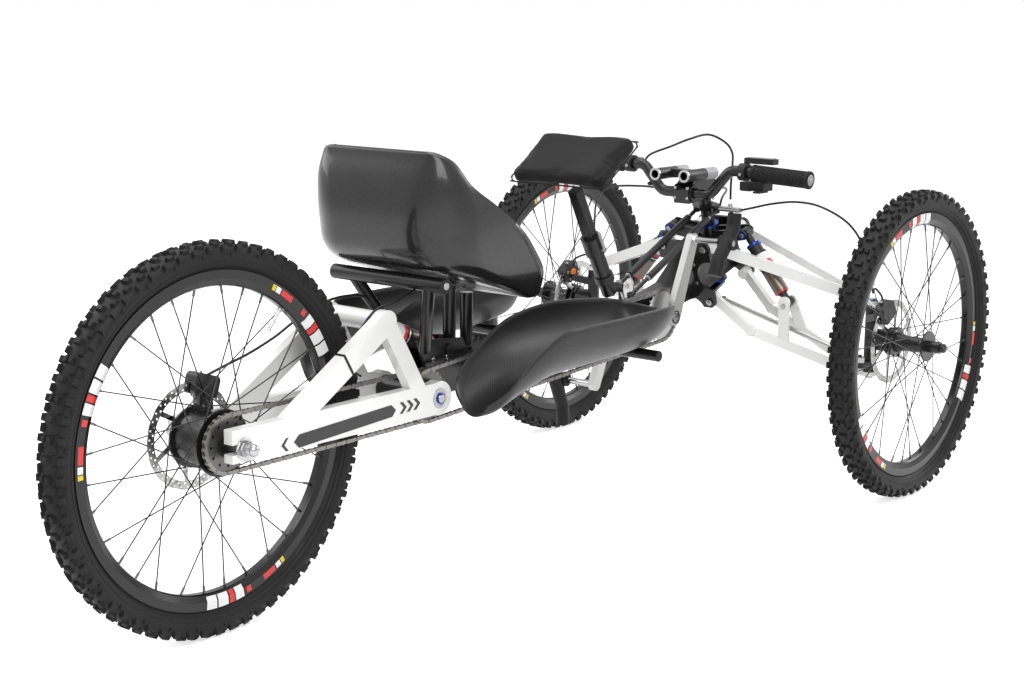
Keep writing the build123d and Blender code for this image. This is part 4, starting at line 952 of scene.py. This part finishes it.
tubes = Maker("twin_tube_rings", "steering", ALLOY)
# The grey bands on the twin tubes are painted highlights: they stand for the studio light
# reflected on the glossy black tubes.
highlight_bands = Maker("twin_tube_highlight_bands", "steering", GREY_PLASTIC)
for _, out in SIDES:
    rear = ahead(1.332, 0, 0.685) + out * 0.038
    tubes.ring(rear + LEVEL * 0.0015, LEVEL, 0.0092, 0.0136, 0.004)
    highlight_bands.ring(rear + LEVEL * 0.098, LEVEL, 0.0125, 0.0135, 0.042)
tubes.done()
highlight_bands.done()
STEM_SIDE = ((-0.112, 0.636), (-0.080, 0.644), (-0.090, 0.672), (-0.176, 0.668),
             (-0.199, 0.648), (-0.193, 0.619), (-0.150, 0.622))  # x from the front axle, z
Maker("stem_body", "steering", BLACK_PAINT).slab(
    [ahead(WHEELBASE + x, -0.020, z) for x, z in STEM_SIDE], SIDEWAYS * 0.040).done()
stem_bolts = Maker("stem_bolts", "steering", STEEL)
for _, out in SIDES:
    for u in (0.118, 0.140):
        stem_bolts.peg(head(0.101, 0, u) + out * 0.0215, out * 0.003, 0.0042, 10)
    for z in (0.653, 0.631):
        stem_bolts.peg(ahead(BAR_X - 0.014, 0, z) + out * 0.016, LEVEL * -0.0065, 0.0036, 10)
stem_bolts.peg(head(0.101, 0, 0.181), UPWARD * 0.0035, 0.009, 20)
stem_bolts.done()
Maker("thumb_screw", "steering", BLACK_PLASTIC).lathe(
    ahead(BAR_X - 0.004, 0.092, 0.672), -UPRIGHT,
    [(0, 0.003), (0.012, 0.003), (0.013, 0.008), (0.019, 0.008), (0.020, 0.006)], 12).done()


# ---- brakes and hoses
def make_caliper_trim(name, body, place, axis, out=0.013):
    """Adjuster knob, bolts and hose fitting of one caliper; out is its half width."""
    Maker(f"{name}_knob", body, ORANGE).lathe(
        place + axis * (out + 0.0002), axis,
        [(0, 0.0085), (0.004, 0.0085), (0.005, 0.007)], 18).done()
    first, second = Vector((0.88, 0, 0.47)), Vector((-0.47, 0, 0.88))
    bolts = [(place + first * a + second * b + axis * out, axis * 0.0025, 0.0036, 10)
             for a, b in ((0.017, 0.010), (-0.017, 0.010), (0.017, -0.011), (-0.017, -0.011))]
    fitting = (place + second * 0.018 + axis * out * 0.3, second * 0.009, 0.0042, 10)
    pegs(f"{name}_metal", body, STEEL, *bolts, fitting)


def make_hose(name, body, points, radius=0.0025):
    """A hose through points in mm, x measured ahead of the rear axle."""
    route = [ahead(*(v / 1000 for v in p)) for p in points]
    Maker(name, body, HOSE).pipe(route, radius).done()


make_caliper_trim("rear_caliper", "frame", ahead(0.028, 0.052, 0.418), SIDEWAYS)
for label, out in SIDES:
    make_caliper_trim(f"front_{label}_caliper", f"knuckle_{label}",
                      ahead(WHEELBASE - 0.038, 0, 0.405) + out * 0.430, -out)

make_hose("lever_hose", "steering", (
    (1428, 134, 700), (1404, 100, 721), (1410, 50, 741), (1407, 0, 760), (1438, -30, 770),
    (1472, -52, 753), (1481, -66, 731), (1475, -72, 705), (1465, -76, 661), (1465, -76, 627)))
make_hose("brake_hose_right", "frame", (
    (1465, -104, 605), (1470, -130, 612), (1477, -180, 625), (1486, -235, 632),
    (1496, -290, 624), (1529, -340, 588), (1556, -366, 530), (1576.5, -380, 438)))
make_hose("brake_hose_left", "frame", (
    (1465, -48, 605), (1476, -47, 628), (1514, -34, 642), (1548, 4, 642), (1544, 60, 634),
    (1520, 120, 632), (1510, 200, 634), (1510, 290, 624), (1530, 340, 588),
    (1556, 366, 530), (1576.5, 380, 438)))
for label, out in SIDES:
    make_hose(f"caliper_hose_{label}", f"knuckle_{label}", [(x, out.y * y, z) for x, y, z in (
        (1576.5, 380, 436), (1572, 386, 446), (1560, 398, 447), (1547, 417, 436),
        (1541, 424, 418))])
make_hose("rear_hose", "frame", (
    (46, 60, 430), (98, 66, 440), (150, 67, 452), (210, 67, 472), (270, 67, 498),
    (352, 66, 522), (420, 50, 520), (446, 45, 480)))
make_hose("gear_cable", "frame", (
    (433, -66, 546), (377, -70, 530), (333, -56, 516), (275, -55, 462), (264, -55, 440),
    (280, -54, 418), (302, -54, 404)), 0.0021)
SPLITTER = ahead(1.465, -0.076, 0.605)
pegs("splitter_bracket", "frame", BLACK_MATT,
     (SPLITTER, head(0.100, -0.076, 0.070) - SPLITTER, 0.004, 14))
pegs("hose_splitter", "frame", ALLOY,
     (SPLITTER - SIDEWAYS * 0.026, SIDEWAYS * 0.052, 0.0062, 20),
     (SPLITTER, UPRIGHT * 0.013, 0.0056, 20))
ends = Maker("hose_nuts", "frame", STEEL)
for _, out in SIDES:
    ends.peg(SPLITTER + out * 0.024, out * 0.007, 0.0053, 6)
    ends.peg(ahead(WHEELBASE, 0, 0.452) + out * 0.380, UPRIGHT * 0.008, 0.0034, 8)
ends.done()
pegs("blue_fitting", "frame", BLUE,
     (ahead(0.318, -0.057, 0.500), (0.012, -0.002, 0.006), 0.0045, 14))

# ---- knuckles and rods
for label, out in SIDES:
    kingpin = ahead(WHEELBASE, 0, 0) + out * 0.380
    pegs(f"kingpin_caps_{label}", "frame", STEEL,
         (kingpin + UPRIGHT * 0.4195, UPRIGHT * 0.0055, 0.0095, 6),
         (kingpin + UPRIGHT * 0.2525, UPRIGHT * -0.0055, 0.0095, 6))
    Maker(f"kingpin_rings_{label}", "frame", BLUE).ring(
        kingpin + UPRIGHT * 0.4203, UPRIGHT, 0.0098, 0.0125, 0.0016, 28).done()
    Maker(f"front_hub_cap_{label}", f"knuckle_{label}", BLACK_MATT).lathe(
        HUBS[f"front_{label}"] + out * 0.0705, out,
        [(0, 0.0100), (0.004, 0.0105), (0.007, 0.0085), (0.0085, 0.004)], 24).done()
    inner = head(0.056, 0, -0.083) + out * 0.014
    outer = ahead(WHEELBASE - 0.045, 0, 0.294) + out * 0.380
    along = (outer - inner).normalized()
    pegs(f"tie_rod_nuts_{label}", f"tie_rod_{label}", DARK_STEEL,
         (inner + along * 0.024, along * 0.007, 0.0088, 6),
         (outer - along * 0.024, along * -0.007, 0.0088, 6))
    low = ahead(1.165, 0, 0.424) + UPWARD * 0.019 + out * 0.026
    high = head(0.101, 0, 0.109) + out * 0.026
    along = (high - low).normalized()
    pegs(f"push_rod_nuts_{label}", f"push_rod_{label}", STEEL,
         (low + along * 0.066, along * 0.007, 0.0068, 6),
         (high - along * 0.039, along * 0.006, 0.0068, 6))

# ---- seat and post fittings
bolts = Maker("seat_bolts", "frame", STEEL)
plugs = Maker("tube_plugs", "frame", BLACK_PLASTIC)
for _, out in SIDES:
    for x in (0.520, 0.560):
        bolts.peg(ahead(x, 0, 0.398) + out * 0.0292, out * 0.003, 0.005, 10)
    bolts.peg(ahead(0.433, 0, 0.558) + out * 0.137, out * 0.0025, 0.007, 12)
    for x, y, z, radius in ((0.433, 0.136, 0.558, 0.0138), (0.930, 0.257, 0.374, 0.0108)):
        plugs.peg(ahead(x, 0, z) + out * y, out * 0.0028, radius, 24)
bolts.done()
plugs.done()
POST_LOW, POST_LENGTH = ahead(1.118, 0, 0.450), 0.134
axis = (ahead(1.050, 0, 0.566) - POST_LOW).normalized()
LOW_CLAMP, HIGH_CLAMP = (POST_LOW + axis * POST_LENGTH * share for share in (0.30, 0.86))
clamps = Maker("post_clamps", "chest_post", BLACK_MATT)
for spot in (LOW_CLAMP, HIGH_CLAMP):
    clamps.ring(spot, axis, 0.0168, 0.0208, 0.016, 36)
clamps.done()
pegs("post_clamp_lever", "chest_post", STEEL,
     (HIGH_CLAMP - SIDEWAYS * 0.020, SIDEWAYS * -0.010, 0.0045, 12),
     (HIGH_CLAMP - SIDEWAYS * 0.028, axis * 0.045, 0.0032, 10))

# ---- camera, floor and light
CAMERA_AT = Vector((-2.70315, -2.1915, 1.0558))
CAMERA_FORWARD = Vector((0.76321, 0.61827, -0.18776))
CAMERA_RIGHT = Vector((0.63101, -0.77570, 0.01065))
CAMERA_UP = Vector((0.13906, 0.12661, 0.98216))
WHITE = (1, 1, 1, 1)
FLOOR_REACH = 20.0


def make_camera():
    data = bpy.data.cameras.new("camera")
    data.sensor_width = 36.0
    data.lens = 62.55
    data.clip_end = 60.0
    cam = new_object("camera", data)
    turn = Matrix((CAMERA_RIGHT, CAMERA_UP, -CAMERA_FORWARD)).transposed()
    cam.matrix_world = Matrix.Translation(CAMERA_AT) @ turn.to_4x4()
    bpy.context.scene.camera = cam


def area_light(name, place, aim, size, watts):
    data = bpy.data.lights.new(name, "AREA")
    data.shape = "RECTANGLE"
    data.size, data.size_y = size
    data.energy = watts
    lamp = new_object(name, data)
    lamp.location = place
    lamp.rotation_euler = (Vector(aim) - Vector(place)).to_track_quat("-Z", "Y").to_euler()


def seen_rays(tree):
    """1 for rays from the camera, a mirror or glass, 0 for light that fills the scene."""
    path = add_node(tree, "LightPath").outputs
    value = path["Is Camera Ray"]
    for other in ("Is Glossy Ray", "Is Transmission Ray"):
        value = add_node(tree, "Math", {0: value, 1: path[other]},
                         operation="MAXIMUM").outputs[0]
    return value


def make_stage():
    """White floor and white surroundings: brighter to the camera than to the object."""
    mesh = bpy.data.meshes.new("floor")
    mesh.from_pydata([(x * FLOOR_REACH, y * FLOOR_REACH, 0) for x, y in SQUARE], [], [range(4)])
    floor = new_object("floor", mesh)
    mat = bpy.data.materials.new("floor")
    mat.use_nodes = True
    tree = mat.node_tree
    lift = add_node(tree, "Math", {0: seen_rays(tree), 1: 0.66}, operation="MULTIPLY")
    fill(tree, tree.nodes["Principled BSDF"], {
        "Base Color": (0.80, 0.80, 0.80, 1), "Roughness": 0.7, "Specular IOR Level": 0.2,
        "Emission Color": WHITE, "Emission Strength": lift.outputs[0]})
    mesh.materials.append(mat)
    world = bpy.data.worlds.new("studio")
    bpy.context.scene.world = world
    world.use_nodes = True
    tree = world.node_tree
    strength = add_node(tree, "MapRange", {"To Min": 0.42, "To Max": 1.0,
                                           "Value": seen_rays(tree)})
    fill(tree, tree.nodes["Background"], {"Color": WHITE, "Strength": strength.outputs["Result"]})
    area_light("key", (-2.6, -3.4, 3.6), (0, 0, 0.3), (3.0, 3.0), 150)
    area_light("fill", (-1.5, 3.8, 2.6), (0, 0, 0.3), (3.0, 3.0), 70)
    area_light("top", (0.3, 0, 4.2), (0, 0, 0), (4.0, 3.0), 110)
    area_light("front", (4.2, -1.6, 2.2), (0.4, 0, 0.4), (2.5, 2.0), 60)


make_camera()
make_stage()
bpy.context.scene.view_settings.view_transform = "Standard"
